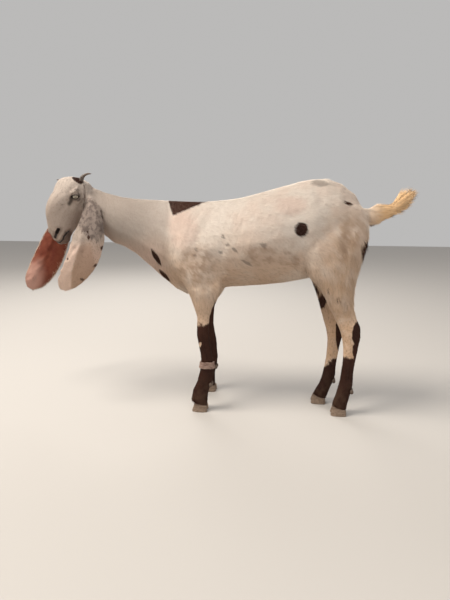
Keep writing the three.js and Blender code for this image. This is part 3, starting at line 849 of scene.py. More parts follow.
share = {
    "head": share_of(["head"]),
    "neck": share_of(["neck"]),
    "trunk": share_of(["trunk"]),
    "tail": share_of(["tail"], 3),
    "ear_left": share_of(["ear_left"], 2),
    "ear_right": share_of(["ear_right"], 2),
    "fore": share_of(["foreleg_left", "foreleg_right"]),
    "hind": share_of(["hindleg_left", "hindleg_right"]),
}
share["ears"] = share["ear_left"] + share["ear_right"]
share["legs"] = share["fore"] + share["hind"]
x, y, z = place_of.T
LOWER_LEG = 0.34
shin = share["legs"] * (1 - between(z, LOWER_LEG, LOWER_LEG + 0.10))
print({name: int(value.sum()) for name, value in share.items()}, "shins", int(shin.sum()))

# %% [markdown]
# ## The lie of the coat
#
# Hair points from the nose to the tail and down the legs. Each part gets one direction, the
# directions are blurred over the skin where parts meet, and then laid flat on it. The same arrays
# hold how long the hair is and where there is none: on lids, lips, nostrils and inside the ears.

# %% Direction of the hair
lie = np.zeros_like(place_of)
lie += share["head"][:, None] * (head_axes @ np.array([0, 1.0, 0.15]))
lie += share["neck"][:, None] * unit(np.array([0, 1.0, -0.50]))
slope = between(z, place("trunk", 0, 0, 0.45).z, place("trunk", 0, 0, 0.95).z)
lie += share["trunk"][:, None] * np.stack([0 * x, 0.80 + 0 * x, -0.62 * (1 - slope)], 1)
breast = 1 - between(y, place("trunk", 0, 0.02, 0).y, place("trunk", 0, 0.16, 0).y)
breast *= share["trunk"] + share["neck"]
lie += breast[:, None] * np.array([0, -0.5, -1.0])
rump = share["trunk"] * between(y, place("trunk", 0, 0.80, 0).y, place("trunk", 0, 0.97, 0).y)
lie += rump[:, None] * np.array([0, 0.3, -1.0])
lie += share["legs"][:, None] * np.array([0, 0.18, -1.0])
tail_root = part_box("tail")[0].y
raised = 0.08 + 0.50 * between(y, tail_root + 0.03, tail_root + 0.08)
lie += share["tail"][:, None] * np.stack([0 * x, 1.0 + 0 * x, raised], 1)
inner = np.zeros(len(x))
rim = np.zeros(len(x))
for side in SIDES:
    length, breadth, s, c, out = ear_sheet(side, place_of)
    mine = share[f"ear_{side}"]
    far_end = np.cross(out, np.cross(np.array([0, 0, -1.0]), out))
    lie += mine[:, None] * unit(far_end)
    towards = facing @ out * (-1 if side == "left" else 1)
    inner += mine * between(net.soft(towards, 2), 0.10, 0.55)
    rim += mine * (1 - between(np.abs(net.soft(facing @ out, 2)), 0.55, 0.9))
lie = net.soft(lie, 14)
lie += 0.10 * np.stack([ripple(place_of, 0.16, seed) for seed in (41, 42, 43)], 1)
lie = unit(lie - facing * (lie * facing).sum(1)[:, None])

# %% Bare places of the face
mirrored = spots.copy()
mirrored[:, 0] = np.abs(mirrored[:, 0])
u, v, w = eye_coordinates(mirrored)
at_eye = (np.hypot(u, v) < 30) & (np.abs(w) < 30)
to_lid = np.where(at_eye, from_lid_edge(u, v), 40.0)


def along_dent(points, curve, inward, deep):
    """Distance to a curve that has been pressed in: the least of several copies of it."""
    steps = [np.array(curve) + np.array(inward) * step for step in np.linspace(0, deep, 4)]
    return np.min([along_curve(points, step) for step in steps], axis=0)


to_nostril = along_dent(mirrored, NOSTRIL, (-0.55, 0.60, -0.55), 6)
to_nostril = np.minimum(to_nostril, along_dent(mirrored, NOSTRIL[:2], (-0.55, 0.60, -0.55), 7) - 1.4)
to_mouth = along_dent(mirrored, MOUTH, (-0.2, 0.9, 0.0), 4)
to_mouth = np.minimum(to_mouth, along_dent(mirrored, MOUTH_BACK, (-0.9, 0.2, 0.1), 4))
bare = 1 - between(to_lid, 1.6, 3.0)
bare = np.maximum(bare, 1 - between(to_nostril, 3.0, 6.5))
bare = np.maximum(bare, 1 - between(to_mouth, 1.6, 3.8))
bare = np.maximum(bare * share["head"], inner)
bare = np.maximum(bare, share["legs"] * (1 - between(z, 0.030, 0.036)))

# %% Length of the hair in millimetres
TUFT = {"muzzle": 2.6, "face": 4.2, "ear": 4.6, "shin": 5.0, "neck": 11.0, "trunk": 11.0, "thigh": 18.0,
        "tail": 42.0}
muzzle = 1 - between(mirrored[:, 1], -215, -150)
tuft = share["head"] * (TUFT["face"] + (TUFT["muzzle"] - TUFT["face"]) * muzzle)
tuft += share["ears"] * TUFT["ear"] + share["neck"] * TUFT["neck"] + share["trunk"] * TUFT["trunk"]
tuft += share["tail"] * TUFT["tail"] * (0.5 + 0.5 * between(y, tail_root + 0.01, tail_root + 0.06))
tuft += share["legs"] * TUFT["shin"] + (share["legs"] - shin) * (TUFT["thigh"] - TUFT["shin"])
buttock = between(y, 0.36, 0.50) * between(z, 0.36, 0.45) * (1 - between(z, 0.70, 0.80))
tuft += 4 * buttock * (share["trunk"] + share["hind"])
topline = between(facing[:, 2], 0.6, 0.95) * share["trunk"]
tuft += 3 * topline + 5 * rump
tuft = net.soft(tuft, 10)
tuft += 7.0 * share["legs"] * (1 - between(z, 0.040, 0.075))
tuft += 3.5 * net.soft(rim, 1) * share["ears"]
tuft += 12.0 * streak(spots, (26, -20, 9), (40, -28, 4), 8)


# %% Dark and lip-coloured places of the face
tear = streak(mirrored, (45, -93, -1), (41, -114, -4), 8.0)
corner_shade = streak(mirrored, (44, -98, 3), (46, -88, -2), 6.0)
under_eye = (1 - between(to_lid, 2.5, 8.5)) * (v < 0) * (u < 7) * at_eye
inside_mouth = streak(mirrored, (28, -212, -62), (24, -190, -70), 4.5)
on_head = between(share["head"], 0.2, 0.5)
# Near black at the lid rims, along the tear streak and below the lower lid, and painted shade in the
# nostrils, along the mouth, in the back of the mouth and at the eye's front corner.
opening = on_head * np.max([
    1 - between(to_lid, 2.2, 4.0),
    0.80 * between(tear, 0.08, 0.95),
    0.80 * between(corner_shade, 0.05, 0.8),
    0.80 * under_eye,
    1 - between(to_nostril, 2.8, 6.6),
    1 - between(to_mouth, 1.5, 4.0),
    between(inside_mouth, 0.35, 0.75)], axis=0)
chin = streak(mirrored, (20, -230, -82), (18, -198, -88), 19)
lip = on_head * np.max([
    0.85 * (1 - between(to_mouth, 4.0, 16.0)),
    0.65 * (1 - between(to_nostril, 4.5, 16.0)),
    between(chin, 0.05, 0.55)], axis=0)
# Painted shade: a dark line in the lips' colour along the crease between the cheek and the left ear.
fold = 1 - between(along_curve(spots, EAR_FOLD), 1.0, 5.5)
lip = np.maximum(lip, 0.85 * fold)


# %% Writing the arrays on the skin
def remember(mesh, name, values, domain="POINT"):
    """Stores an array on a mesh: one number or three for each point or face."""
    kind = "FLOAT_VECTOR" if values.ndim == 2 else "INT" if values.dtype.kind == "i" else "FLOAT"
    layer = mesh.attributes.new(name, kind, domain)
    field = "vector" if kind == "FLOAT_VECTOR" else "value"
    layer.data.foreach_set(field, np.ascontiguousarray(values).ravel())


for name, values in (("lie", lie), ("tuft", tuft), ("inner", inner), ("face", share["head"]), ("shin", shin),
                     ("opening", opening), ("lip", lip)):
    remember(skin.data, name, values)
print("bare", round(float((bare > 0.5).mean()), 3))
print("hair from", round(tuft.min(), 1), "to", round(tuft.max(), 1), "mm")

# %% [markdown]
# ## Colours of the coat
#
# The goat is a dusty white with black-brown stockings and scattered dark patches. Skin and hair must
# agree, so one shader group works out the colour for a place on the skin. The skin gives it its own
# place; each tuft gives it the place of its root. A patch is an ellipse or a leaf shape with a ragged
# edge, so all the markings are a short table.

# %% Shader groups with named sockets
def new_group(name, inputs, outputs):
    """An empty shader group; inputs are (name, kind, default) and outputs are (name, kind)."""
    group = bpy.data.node_groups.new(name, "ShaderNodeTree")
    for label, kind, default in inputs:
        socket = group.interface.new_socket(label, in_out="INPUT", socket_type="NodeSocket" + kind)
        if default is not None:
            socket.default_value = default
    for label, kind in outputs:
        group.interface.new_socket(label, in_out="OUTPUT", socket_type="NodeSocket" + kind)
    return group


class Shading(Wiring):
    """Wiring for shader trees, with the few mixes that the coat needs."""

    def __init__(self, tree, surface=None):
        self.tree = tree
        self.surface = surface
        self.given = tree.nodes.new("NodeGroupInput").outputs if surface is None else None

    def blend(self, share, first, second, how="MIX"):
        node = self.tree.nodes.new("ShaderNodeMix")
        node.data_type = "RGBA"
        node.blend_type = how
        for socket, value in ((node.inputs[0], share), (node.inputs[6], first), (node.inputs[7], second)):
            if isinstance(value, bpy.types.NodeSocket):
                self.tree.links.new(value, socket)
            else:
                socket.default_value = (*value, 1) if isinstance(value, tuple) else value
        return node.outputs[2]

    def rise(self, value, low, high, out_low=0.0, out_high=1.0):
        """A smooth step of a value from low to high; low may be above high."""
        return self.add("ShaderNodeMapRange", {"interpolation_type": "SMOOTHSTEP"}, {
            "Value": value, "From Min": low, "From Max": high, "To Min": out_low, "To Max": out_high})[0]

    def noise(self, vector, scale, detail=2.0, rough=0.5):
        return self.add("ShaderNodeTexNoise", {},
                        {"Vector": vector, "Scale": scale, "Detail": detail, "Roughness": rough})[0]

    def on_object(self):
        return self.add("ShaderNodeTexCoord")["Object"]

    def attribute(self, name, output="Fac"):
        return self.add("ShaderNodeAttribute", {"attribute_name": name})[output]

    def use(self, group, inputs):
        return self.add("ShaderNodeGroup", {"node_tree": group}, inputs)

    def strongest(self, masks):
        total = masks[0]
        for mask in masks[1:]:
            total = self.maths("MAXIMUM", total, mask)
        return total

    def coated_with(self, colour):
        self.tree.links.new(colour, self.surface.inputs["Base Color"])

    def bumped_by(self, height, strength, distance):
        bump = self.add("ShaderNodeBump", {}, {"Height": height, "Strength": strength, "Distance": distance})
        self.tree.links.new(bump["Normal"], self.surface.inputs["Normal"])

    def put_out(self, **values):
        sink = self.tree.nodes.new("NodeGroupOutput")
        for name, value in values.items():
            self.tree.links.new(value, sink.inputs[name.replace("_", " ")])


# %% One patch: an ellipse or a leaf with a ragged edge
patch = new_group("patch", [
    ("Place", "Vector", None), ("Centre", "Vector", (0, 0, 0)), ("Half", "Vector", (1, 1, 1)),
    ("Lean", "Float", 0.0), ("Leaf", "Float", 0.0), ("Ragged", "Float", 0.3), ("Soft", "Float", 0.0)],
    [("Mask", "Float")])
wire = Shading(patch)
moved = wire.vector("SUBTRACT", wire.given["Place"], wire.given["Centre"])
turned_back = wire.add("ShaderNodeVectorRotate", {"rotation_type": "X_AXIS", "invert": True},
                       {"Vector": moved, "Angle": wire.given["Lean"]})[0]
across, along, up = wire.apart(wire.vector("DIVIDE", turned_back, wire.given["Half"]))
leaf_up = wire.times(wire.maths("ABSOLUTE", up), wire.given["Leaf"])
ellipse_up = wire.times(up, up, wire.rest_of(wire.given["Leaf"]))
total = wire.plus(wire.times(along, along), wire.plus(leaf_up, ellipse_up), wire.times(across, across, 0.9))
edge_noise = wire.minus(wire.noise(wire.given["Place"], 95.0, 3.0, 0.6), 0.5)
total = wire.plus(total, wire.times(edge_noise, wire.times(wire.given["Ragged"], 3.0)))
wire.put_out(Mask=wire.rise(total, wire.plus(1.18, wire.given["Soft"]), wire.minus(0.86, wire.given["Soft"])))
print("patch group", len(patch.nodes), "nodes")

# %% The table of dark patches
# Centre, half sizes (across, along and up, in metres), lean in degrees, leaf share, ragged edge.
DARK_PATCHES = [
    ("breast, upper leaf", (0.050, -0.172, 0.562), (0.060, 0.036, 0.011), -64, 1.0, 0.15),
    ("breast, lower leaf", (0.040, -0.153, 0.492), (0.060, 0.032, 0.0125), -49, 0.8, 0.25),
    ("hip spot", (0.085, 0.336, 0.666), (0.060, 0.022, 0.022), 20, 0.0, 0.25),
    ("spot by the tail", (0.050, 0.484, 0.750), (0.050, 0.014, 0.0055), -14, 0.2, 0.8),
    ("buttock", (0.050, 0.556, 0.603), (0.060, 0.026, 0.033), 0, 0.0, 0.4),
    ("thigh, front dot", (0.079, 0.435, 0.466), (0.040, 0.0045, 0.0045), 0, 0.0, 0.3),
    ("thigh, back dot", (0.082, 0.469, 0.437), (0.040, 0.006, 0.0045), 0, 0.0, 0.3),
    ("lock before the horn", (0.040, -0.456, 0.828), (0.024, 0.024, 0.0150), -42, 0.6, 0.25),
    ("ear, front spot", (0.099, -0.401, 0.632), (0.040, 0.0045, 0.0075), 0, 0.0, 0.45),
    ("ear, small flecks", (0.099, -0.404, 0.650), (0.040, 0.0025, 0.005), 20, 0.0, 0.5),
    ("ear, back edge", (0.073, -0.362, 0.592), (0.040, 0.006, 0.008), 0, 0.0, 0.4),
    ("ear, lower edge", (0.070, -0.395, 0.529), (0.040, 0.008, 0.0045), 45, 0.0, 0.45),
    ("ear, near the tip", (0.069, -0.451, 0.476), (0.040, 0.005, 0.006), 30, 0.0, 0.45),
    ("ear, front edge", (0.090, -0.476, 0.556), (0.040, 0.0035, 0.005), 0, 0.0, 0.4),
    ("far thigh", (-0.055, 0.424, 0.402), (0.050, 0.017, 0.034), -12, 0.0, 0.35),
    ("far thigh, streak", (-0.055, 0.388, 0.455), (0.050, 0.012, 0.036), 40, 0.3, 0.5),
    ("behind the far hock", (-0.045, 0.492, 0.275), (0.045, 0.013, 0.070), 5, 0.0, 0.3),
    ("behind the near hock", (0.055, 0.543, 0.310), (0.045, 0.020, 0.044), 0, 0.0, 0.3),
    ("below the near hock", (0.055, 0.549, 0.252), (0.045, 0.020, 0.050), 0, 0.0, 0.4),
    ("behind the near knee", (0.095, 0.052, 0.385), (0.045, 0.009, 0.040), 0, 0.3, 0.4),
    ("far ear, dark fleck", (-0.036, -0.585, 0.562), (0.030, 0.009, 0.016), 10, 0.0, 0.4),
    ("far flank", (-0.095, 0.150, 0.640), (0.050, 0.030, 0.022), 25, 0.3, 0.35),
    ("far shoulder", (-0.090, -0.060, 0.600), (0.050, 0.018, 0.024), -30, 0.0, 0.35),
]
FAINT_PATCHES = [
    ("ear, upper back edge", (0.087, -0.356, 0.660), (0.030, 0.008, 0.016), 0, 0.0, 0.6),
    ("ear, ring", (0.107, -0.425, 0.583), (0.030, 0.005, 0.005), 0, 0.0, 0.5),
    ("ear, upper mark", (0.090, -0.418, 0.655), (0.040, 0.008, 0.006), 30, 0.0, 0.6),
    ("loin", (0.020, 0.392, 0.812), (0.050, 0.028, 0.011), -10, 0.0, 0.95),
    ("side, upper fleck", (0.087, 0.076, 0.640), (0.040, 0.006, 0.007), 20, 0.2, 0.9),
    ("side, middle streak", (0.097, 0.118, 0.597), (0.040, 0.013, 0.005), -38, 0.3, 0.9),
    ("side, lower streak", (0.089, 0.158, 0.552), (0.040, 0.017, 0.006), -34, 0.3, 0.9),
    ("side, behind the shoulder", (0.090, 0.092, 0.613), (0.040, 0.008, 0.006), 0, 0.0, 1.0),
    ("side, low fleck", (0.090, 0.068, 0.587), (0.040, 0.006, 0.005), 0, 0.0, 0.9),
    ("side, flank", (0.105, 0.216, 0.614), (0.040, 0.010, 0.009), 0, 0.0, 0.8),
    ("shoulder fleck", (0.090, -0.018, 0.594), (0.040, 0.004, 0.007), 20, 0.0, 0.9),
    ("elbow fleck", (0.090, -0.022, 0.575), (0.040, 0.006, 0.004), 0, 0.0, 0.9),
    ("cheek", (0.1045, -0.489, 0.743), (0.030, 0.0022, 0.0022), 0, 0.0, 0.3),
]
WHITE_FLECKS = [
    ("front of the near knee", (0.105, -0.003, 0.256), (0.030, 0.005, 0.011), -14, 0.2, 0.45),
]
print("patches: dark", len(DARK_PATCHES), "faint", len(FAINT_PATCHES), "white", len(WHITE_FLECKS))

# %% [markdown]
# Stockings end in a ragged line, which climbs towards the back on the right hind leg. Soil from
# lying down tints the belly, the breast and the thighs, the neck and the face are a little grey, and
# the tail is tan. Shade is painted on the neck, the cheeks, round the eyes, in the nostrils and the
# mouth and on the back half of the left ear; light is painted on its front half, and a warm glow on the
# throat.

# %% The palette
WHITE, GREY_WHITE = (0.865, 0.785, 0.705), (0.565, 0.485, 0.43)
NECK_GREY_SHADE, DARK_GREY = (0.50, 0.455, 0.42), (0.105, 0.085, 0.078)
SOILED, SOILED_BEHIND = (0.66, 0.435, 0.270), (0.62, 0.385, 0.220)
STAIN, EARTH, DUST = (0.40, 0.265, 0.18), (0.30, 0.185, 0.115), (0.20, 0.125, 0.080)
PINKISH, TAN = (0.76, 0.55, 0.46), (0.86, 0.565, 0.305)
CHEEK_SHADE, NAPE_SHADE, SOCKET = (0.36, 0.275, 0.225), (0.30, 0.255, 0.22), (0.21, 0.145, 0.11)
BLACK_BROWN, BROWN = (0.024, 0.0065, 0.0030), (0.044, 0.014, 0.007)
MOTTLED, EAR_PALE_LIT, EAR_SHADED = (0.27, 0.225, 0.20), (0.93, 0.70, 0.585), (0.45, 0.29, 0.21)
BRICK, BRICK_LIGHT, BRICK_LOW = (0.125, 0.023, 0.011), (0.175, 0.042, 0.020), (0.145, 0.046, 0.025)
LEFT_INNER, LIP_AND_FOLD_SHADE, RIM_DARK_AND_OPENING_SHADE = (0.42, 0.235, 0.185), (0.085, 0.050, 0.038), (0.018, 0.012, 0.010)

# %% The colour of a place on the skin
coat_colour = new_group("coat_colour", [
    ("Place", "Vector", None), ("Inner", "Float", 0.0), ("Face", "Float", 0.0), ("Opening", "Float", 0.0),
    ("Lip", "Float", 0.0)], [("Colour", "Color"), ("Dark", "Float")])
wire = Shading(coat_colour)
here = wire.given["Place"]
px, py, pz = wire.apart(here)
wide = wire.noise(here, 7.0, 3.0, 0.6)
medium = wire.noise(here, 32.0, 3.0, 0.6)
fine = wire.noise(here, 170.0, 2.0, 0.6)
off_face = wire.rest_of(wire.given["Face"])


def blot(centre, half_sizes, lean, leaf=0.0, ragged=0.5, soft=0.55):
    """A stain with a wide soft edge, or a sharp patch when soft is 0; the lean is in degrees."""
    return wire.use(patch, {"Place": here, "Centre": centre, "Half": half_sizes, "Lean": math.radians(lean),
                            "Leaf": leaf, "Ragged": ragged, "Soft": soft})["Mask"]


def patches(table):
    return wire.strongest([blot(*shape, soft=0.0) for name, *shape in table])


def tinted(colour, tone, mask, amount):
    """The colour with a tone laid over it where the mask is strong, by the amount at most."""
    return wire.blend(wire.times(mask, amount), colour, tone)


# Base: white, greyed on the neck and head, with painted shade on the neck before the shoulder, soiled low
# down and behind.
colour = tinted(WHITE, PINKISH, wire.rise(wide, 0.42, 0.66), 0.30)
# Painted shade: a mottled grey on the neck in front of the shoulder.
shade_before_shoulder = wire.times(wire.rise(py, -0.108, -0.140), wire.rise(wide, 0.20, 0.56, 0.35, 1.0))
colour = tinted(colour, NECK_GREY_SHADE, shade_before_shoulder, 0.80)
colour = tinted(colour, GREY_WHITE, wire.rise(py, -0.20, -0.38), 0.80)
low = wire.rise(pz, 0.70, 0.48)
soiled = wire.plus(wire.times(low, 0.66), 0.08)
colour = tinted(colour, SOILED, soiled, wire.rise(wide, 0.30, 0.58, 0.35, 1.0))
rear = wire.times(wire.rise(py, 0.34, 0.50), wire.rise(medium, 0.30, 0.62, 0.3, 1.0))
colour = tinted(colour, SOILED_BEHIND, rear, wire.rise(pz, 0.77, 0.66, 0.10, 0.62))
pink = wire.strongest([
    blot((0.06, -0.070, 0.660), (0.08, 0.050, 0.070), 10),
    blot((0.06, 0.300, 0.740), (0.08, 0.050, 0.030), 0)])
colour = tinted(colour, PINKISH, pink, 0.50)
stains = wire.strongest([
    blot((0.09, -0.015, 0.545), (0.07, 0.060, 0.062), 0),
    blot((0.09, 0.205, 0.578), (0.06, 0.060, 0.034), 6),
    blot((0.09, 0.300, 0.566), (0.06, 0.050, 0.026), -14),
    blot((0.07, 0.500, 0.640), (0.07, 0.045, 0.085), -8),
    blot((-0.09, 0.020, 0.560), (0.07, 0.070, 0.055), 0)])
colour = tinted(colour, STAIN, stains, wire.rise(medium, 0.36, 0.64, 0.12, 0.78))
# Painted light: a warm, pinkish glow on the lower neck, as if reflected from the floor.
throat_floor_glow = wire.times(wire.rise(py, -0.10, -0.20), wire.rise(py, -0.46, -0.36), wire.rise(pz, 0.66, 0.55))
colour = tinted(colour, PINKISH, throat_floor_glow, 0.70)
# Grains of earth between the hairs, thickest low down.
colour = tinted(colour, EARTH, wire.rise(fine, 0.50, 0.66), wire.plus(wire.times(low, 0.42), 0.10))
colour = wire.blend(wire.rise(py, 0.548, 0.600), colour, TAN)
# Fine grey roan on the face and neck, then painted shade on the cheeks, on the nape and round the eye
# sockets.
roan = wire.times(wire.rise(fine, 0.52, 0.70), wire.rise(py, -0.28, -0.42))
colour = tinted(colour, DARK_GREY, roan, 0.35)
# Painted shade on the lower part of the face.
cheek = wire.times(wire.given["Face"], wire.rise(pz, 0.82, 0.71))
colour = tinted(colour, CHEEK_SHADE, cheek, 0.60)
# Painted shade on the upper neck behind the head.
nape_shade = wire.times(off_face, wire.rise(py, -0.125, -0.270))
colour = tinted(colour, NAPE_SHADE, nape_shade, wire.rise(pz, 0.56, 0.67, 0.0, 0.48))
# Painted shade round each eye.
sockets = wire.strongest([
    blot(tuple(from_head((46 * sign, -84, -10))), (0.030, 0.030, 0.021), 30) for sign in SIDES.values()])
colour = tinted(colour, SOCKET, sockets, 0.50)

# A black wedge on the withers, from a steep front edge to a point behind, over the topline.
ragged_line = wire.times(wire.minus(wire.noise(here, 120.0, 3.0, 0.65), 0.5), 0.012)
over_lower = wire.minus(wire.minus(pz, 0.708), wire.times(wire.plus(py, 0.114), 0.42))
behind_front = wire.minus(wire.plus(py, 0.133), wire.times(wire.minus(0.748, pz), 0.475))
wedge = wire.plus(wire.maths("MINIMUM", over_lower, behind_front), ragged_line)
wedge = wire.times(wire.rise(wedge, -0.0015, 0.002), wire.rise(wire.plus(px, ragged_line), -0.034, -0.028))

# Grey and black mottling at the root of the left ear.
mottle_area = blot((0.090, -0.398, 0.720), (0.047, 0.052, 0.100), math.degrees(0.2), ragged=0.6, soft=0.0)
mottle = wire.times(mottle_area, wire.rise(wire.noise(here, 75.0, 3.0, 0.65), 0.47, 0.57))
colour = tinted(colour, MOTTLED, mottle_area, 0.86)
colour = tinted(colour, DARK_GREY, mottle, 0.80)
colour = tinted(colour, DARK_GREY, patches(FAINT_PATCHES), 0.52)

# The rolled front half of the left ear is pale and pinkish with painted light, and the half behind the fold
# gets painted shade.
on_ear = wire.times(off_face, wire.rise(px, 0.040, 0.050), wire.rise(py, -0.385, -0.400))
on_ear = wire.times(on_ear, wire.rise(pz, 0.625, 0.590))
before_fold = wire.minus(wire.times(wire.minus(pz, 0.5697), 0.416), wire.plus(py, 0.4424))
lit_ear_front = wire.rise(before_fold, -0.004, 0.006)
colour = tinted(colour, EAR_PALE_LIT, wire.times(on_ear, lit_ear_front), 0.75)
colour = tinted(colour, EAR_SHADED, wire.times(on_ear, wire.rest_of(lit_ear_front)), 0.68)

# Stockings: level on the forelegs and the left hind leg, climbing backwards on the right hind leg.
height = wire.plus(pz, wire.times(wire.minus(medium, 0.5), 0.075))
on_left = wire.rise(px, -0.02, 0.00)
is_fore = wire.rise(py, 0.22, 0.20)
fore_top = wire.plus(0.375, wire.times(on_left, -0.045))
climb_right = wire.times(wire.minus(py, 0.466), 0.87)
right_top = wire.plus(0.163, climb_right)
hind_top = wire.plus(wire.times(on_left, 0.222), wire.times(wire.rest_of(on_left), right_top))
top = wire.plus(wire.times(is_fore, fore_top), wire.times(wire.rest_of(is_fore), hind_top))
stocking = wire.rise(wire.minus(height, top), 0.006, -0.006)
stocking = wire.times(stocking, wire.rest_of(patches(WHITE_FLECKS)))
dark = wire.strongest([stocking, wedge, patches(DARK_PATCHES)])
brown = wire.blend(wire.rise(wide, 0.35, 0.65), BLACK_BROWN, BROWN)
brown = tinted(brown, DUST, wire.times(wire.rise(pz, 0.16, 0.03), wire.rise(medium, 0.36, 0.62)), 0.22)
colour = wire.blend(dark, colour, brown)

# Inside of the ears, lids, nostrils and lips; the lips' colour also paints shade in the crease before the
# left ear.
brick = wire.blend(wire.rise(medium, 0.35, 0.65), BRICK, BRICK_LIGHT)
brick = wire.blend(wire.rise(pz, 0.50, 0.43, 0.0, 0.6), brick, BRICK_LOW)
colour = wire.blend(wire.given["Inner"], colour, wire.blend(on_left, brick, LEFT_INNER))
colour = tinted(colour, LIP_AND_FOLD_SHADE, wire.given["Lip"], 0.82)
# Near black at the lid rims and the tear streak, and painted shade in the nostrils, the mouth and the eye's
# corner.
colour = wire.blend(wire.given["Opening"], colour, RIM_DARK_AND_OPENING_SHADE)
wire.put_out(Colour=colour, Dark=wire.strongest([dark, wire.given["Opening"]]))
print("coat colour", len(coat_colour.nodes), "nodes")

# %% Fur as a bump
# Noise stretched along the hair; the stretch is one of three fixed directions, mixed by part.
fur_bump = new_group("fur_bump", [
    ("Place", "Vector", None), ("Face", "Float", 0.0), ("Shin", "Float", 0.0), ("Fineness", "Float", 900.0)],
    [("Height", "Float")])
wire = Shading(fur_bump)


def combed(direction, scale):
    """Noise stretched along one direction."""
    direction = Vector(direction).normalized()
    share_along = wire.vector("DOT_PRODUCT", wire.given["Place"], tuple(direction))
    along = wire.scaled(tuple(direction), wire.times(share_along, -0.90))
    return wire.noise(wire.vector("ADD", wire.given["Place"], along), scale, 3.0, 0.65)


level = combed((0, 0.85, -0.35), wire.given["Fineness"])
up_down = combed((0, 0.15, -1), wire.given["Fineness"])
on_face = combed(tuple(turned @ Vector((0, 1, 0.15))), wire.given["Fineness"])
height = wire.plus(level, wire.times(wire.given["Shin"], wire.minus(up_down, level)))
height = wire.plus(height, wire.times(wire.given["Face"], wire.minus(on_face, height)))
wire.put_out(Height=height)


# %% Materials of skin and hair
def material(name, **settings):
    """A Principled material; keywords are sockets, with _ for a space."""
    made = bpy.data.materials.new(name)
    made.use_nodes = True
    surface = made.node_tree.nodes["Principled BSDF"]
    for socket, value in settings.items():
        surface.inputs[socket.replace("_", " ").title().replace("Ior", "IOR")].default_value = value
    return made, Shading(made.node_tree, surface)


def coat_marks(wire, place_socket, **more):
    return wire.use(coat_colour, {
        "Place": place_socket, "Face": wire.attribute("face"), "Opening": wire.attribute("opening"),
        "Lip": wire.attribute("lip"), **more})


SKIN_PINK, SHADE_BETWEEN_HAIRS = (0.50, 0.33, 0.27), (0.10, 0.07, 0.055)
TUFT_SHADE, ROOT_SHADE = (0.42, 0.31, 0.24), (0.30, 0.22, 0.17)

hide, wire = material("hide", roughness=0.75, specular_ior_level=0.22)
here = wire.on_object()
on_face, on_shin, on_inner = (wire.attribute(name) for name in ("face", "shin", "inner"))
marks = coat_marks(wire, here, Inner=on_inner)
under = wire.blend(0.15, marks["Colour"], SKIN_PINK)
under = wire.blend(wire.strongest([on_face, on_shin, on_inner]), under, marks["Colour"])
strands = wire.use(fur_bump, {"Place": here, "Face": on_face, "Shin": on_shin})["Height"]
# Painted shade between the strands, where the fur bump is low.
wire.coated_with(wire.blend(wire.rise(strands, 0.30, 0.62, 0.16, 0.0), under, SHADE_BETWEEN_HAIRS))
wet = wire.rise(wire.attribute("opening"), 0.5, 1.0, 0.74, 0.42)
wire.tree.links.new(wet, wire.surface.inputs["Roughness"])
wire.bumped_by(strands, 0.55, 0.0012)

hair, wire = material("hair", roughness=0.68, specular_ior_level=0.15)
marks = coat_marks(wire, wire.attribute("root", "Vector"))
uneven = wire.rise(wire.attribute("shade"), 0.1, 0.9, 0.0, 0.27)
tone = wire.blend(uneven, marks["Colour"], TUFT_SHADE)
tone = wire.blend(marks["Dark"], tone, marks["Colour"])
at_root = wire.rise(wire.attribute("tip"), 0.0, 0.5, 0.12, 0.0)
wire.coated_with(wire.blend(at_root, tone, ROOT_SHADE, "MULTIPLY"))
skin.data.materials.clear()
skin.data.materials.append(hide)
print("materials", hide.name, hair.name)

# %% [markdown]
# ## The coat
#
# Each tuft is a thin closed spike. Geometry Nodes scatter points on the skin, turn a spike at each
# one along the lie of the hair, raise its tip a little and size it by the stored length. Nearby
# spikes lean towards shared spots, as real hair clumps. Every tuft carries the place of its root
# for its colour, and its share of a picture map. That map is the skin of its part rolled out round
# the part's own axis.

# %% Closed meshes made of rings
def ring_faces(first, spokes):
    """Faces between the ring that starts at a point number and the next ring."""
    return [(first + k, first + (k + 1) % spokes, first + spokes + (k + 1) % spokes, first + spokes + k)
            for k in range(spokes)]


def fan(first, spokes, tip):
    """Triangles from a ring to one point."""
    return [(first + k, first + (k + 1) % spokes, tip) for k in range(spokes)]


def smooth(mesh):
    mesh.polygons.foreach_set("use_smooth", [True] * len(mesh.polygons))


def closed(name, verts, faces, in_triangles=False):
    """An object of a closed mesh, smooth and with its faces turned outwards."""
    mesh = bpy.data.meshes.new(name)
    mesh.from_pydata(verts, [], faces)
    work = bmesh.new()
    work.from_mesh(mesh)
    bmesh.ops.recalc_face_normals(work, faces=work.faces)
    if in_triangles:
        bmesh.ops.triangulate(work, faces=work.faces)
    work.to_mesh(mesh)
    work.free()
    smooth(mesh)
    return added(name, mesh)


# %% Two spikes, a short straight one and a long bent one
def spike(name, rings, sides=3):
    """A closed spike of unit length; rings are (along, width, rise) and the last one is the tip."""
    verts, tips, flat_places = [], [], []
    for along, width, rise in rings[:-1]:
        for k in range(sides):
            turn = math.tau * (k / sides) - math.pi / 6
            verts.append((width * math.cos(turn) * 0.5, along, rise + width * math.sin(turn) * 0.22))
            tips.append(along)
            out = 0.5 * (1 - along)
            flat_places.append((0.5 + out * math.cos(turn), 0.5 + out * math.sin(turn)))
    along, width, rise = rings[-1]
    verts.append((0.0, along, rise))
    tips.append(1.0)
    flat_places.append((0.5, 0.5))
    faces = [tuple(reversed(range(sides)))]
    for ring in range(len(rings) - 2):
        faces += ring_faces(ring * sides, sides)
    faces += fan((len(rings) - 2) * sides, sides, len(verts) - 1)
    thing = closed(name, verts, faces, in_triangles=True)
    remember(thing.data, "tip", np.array(tips))
    thing.data.materials.append(hair)
    return thing, np.array(flat_places)


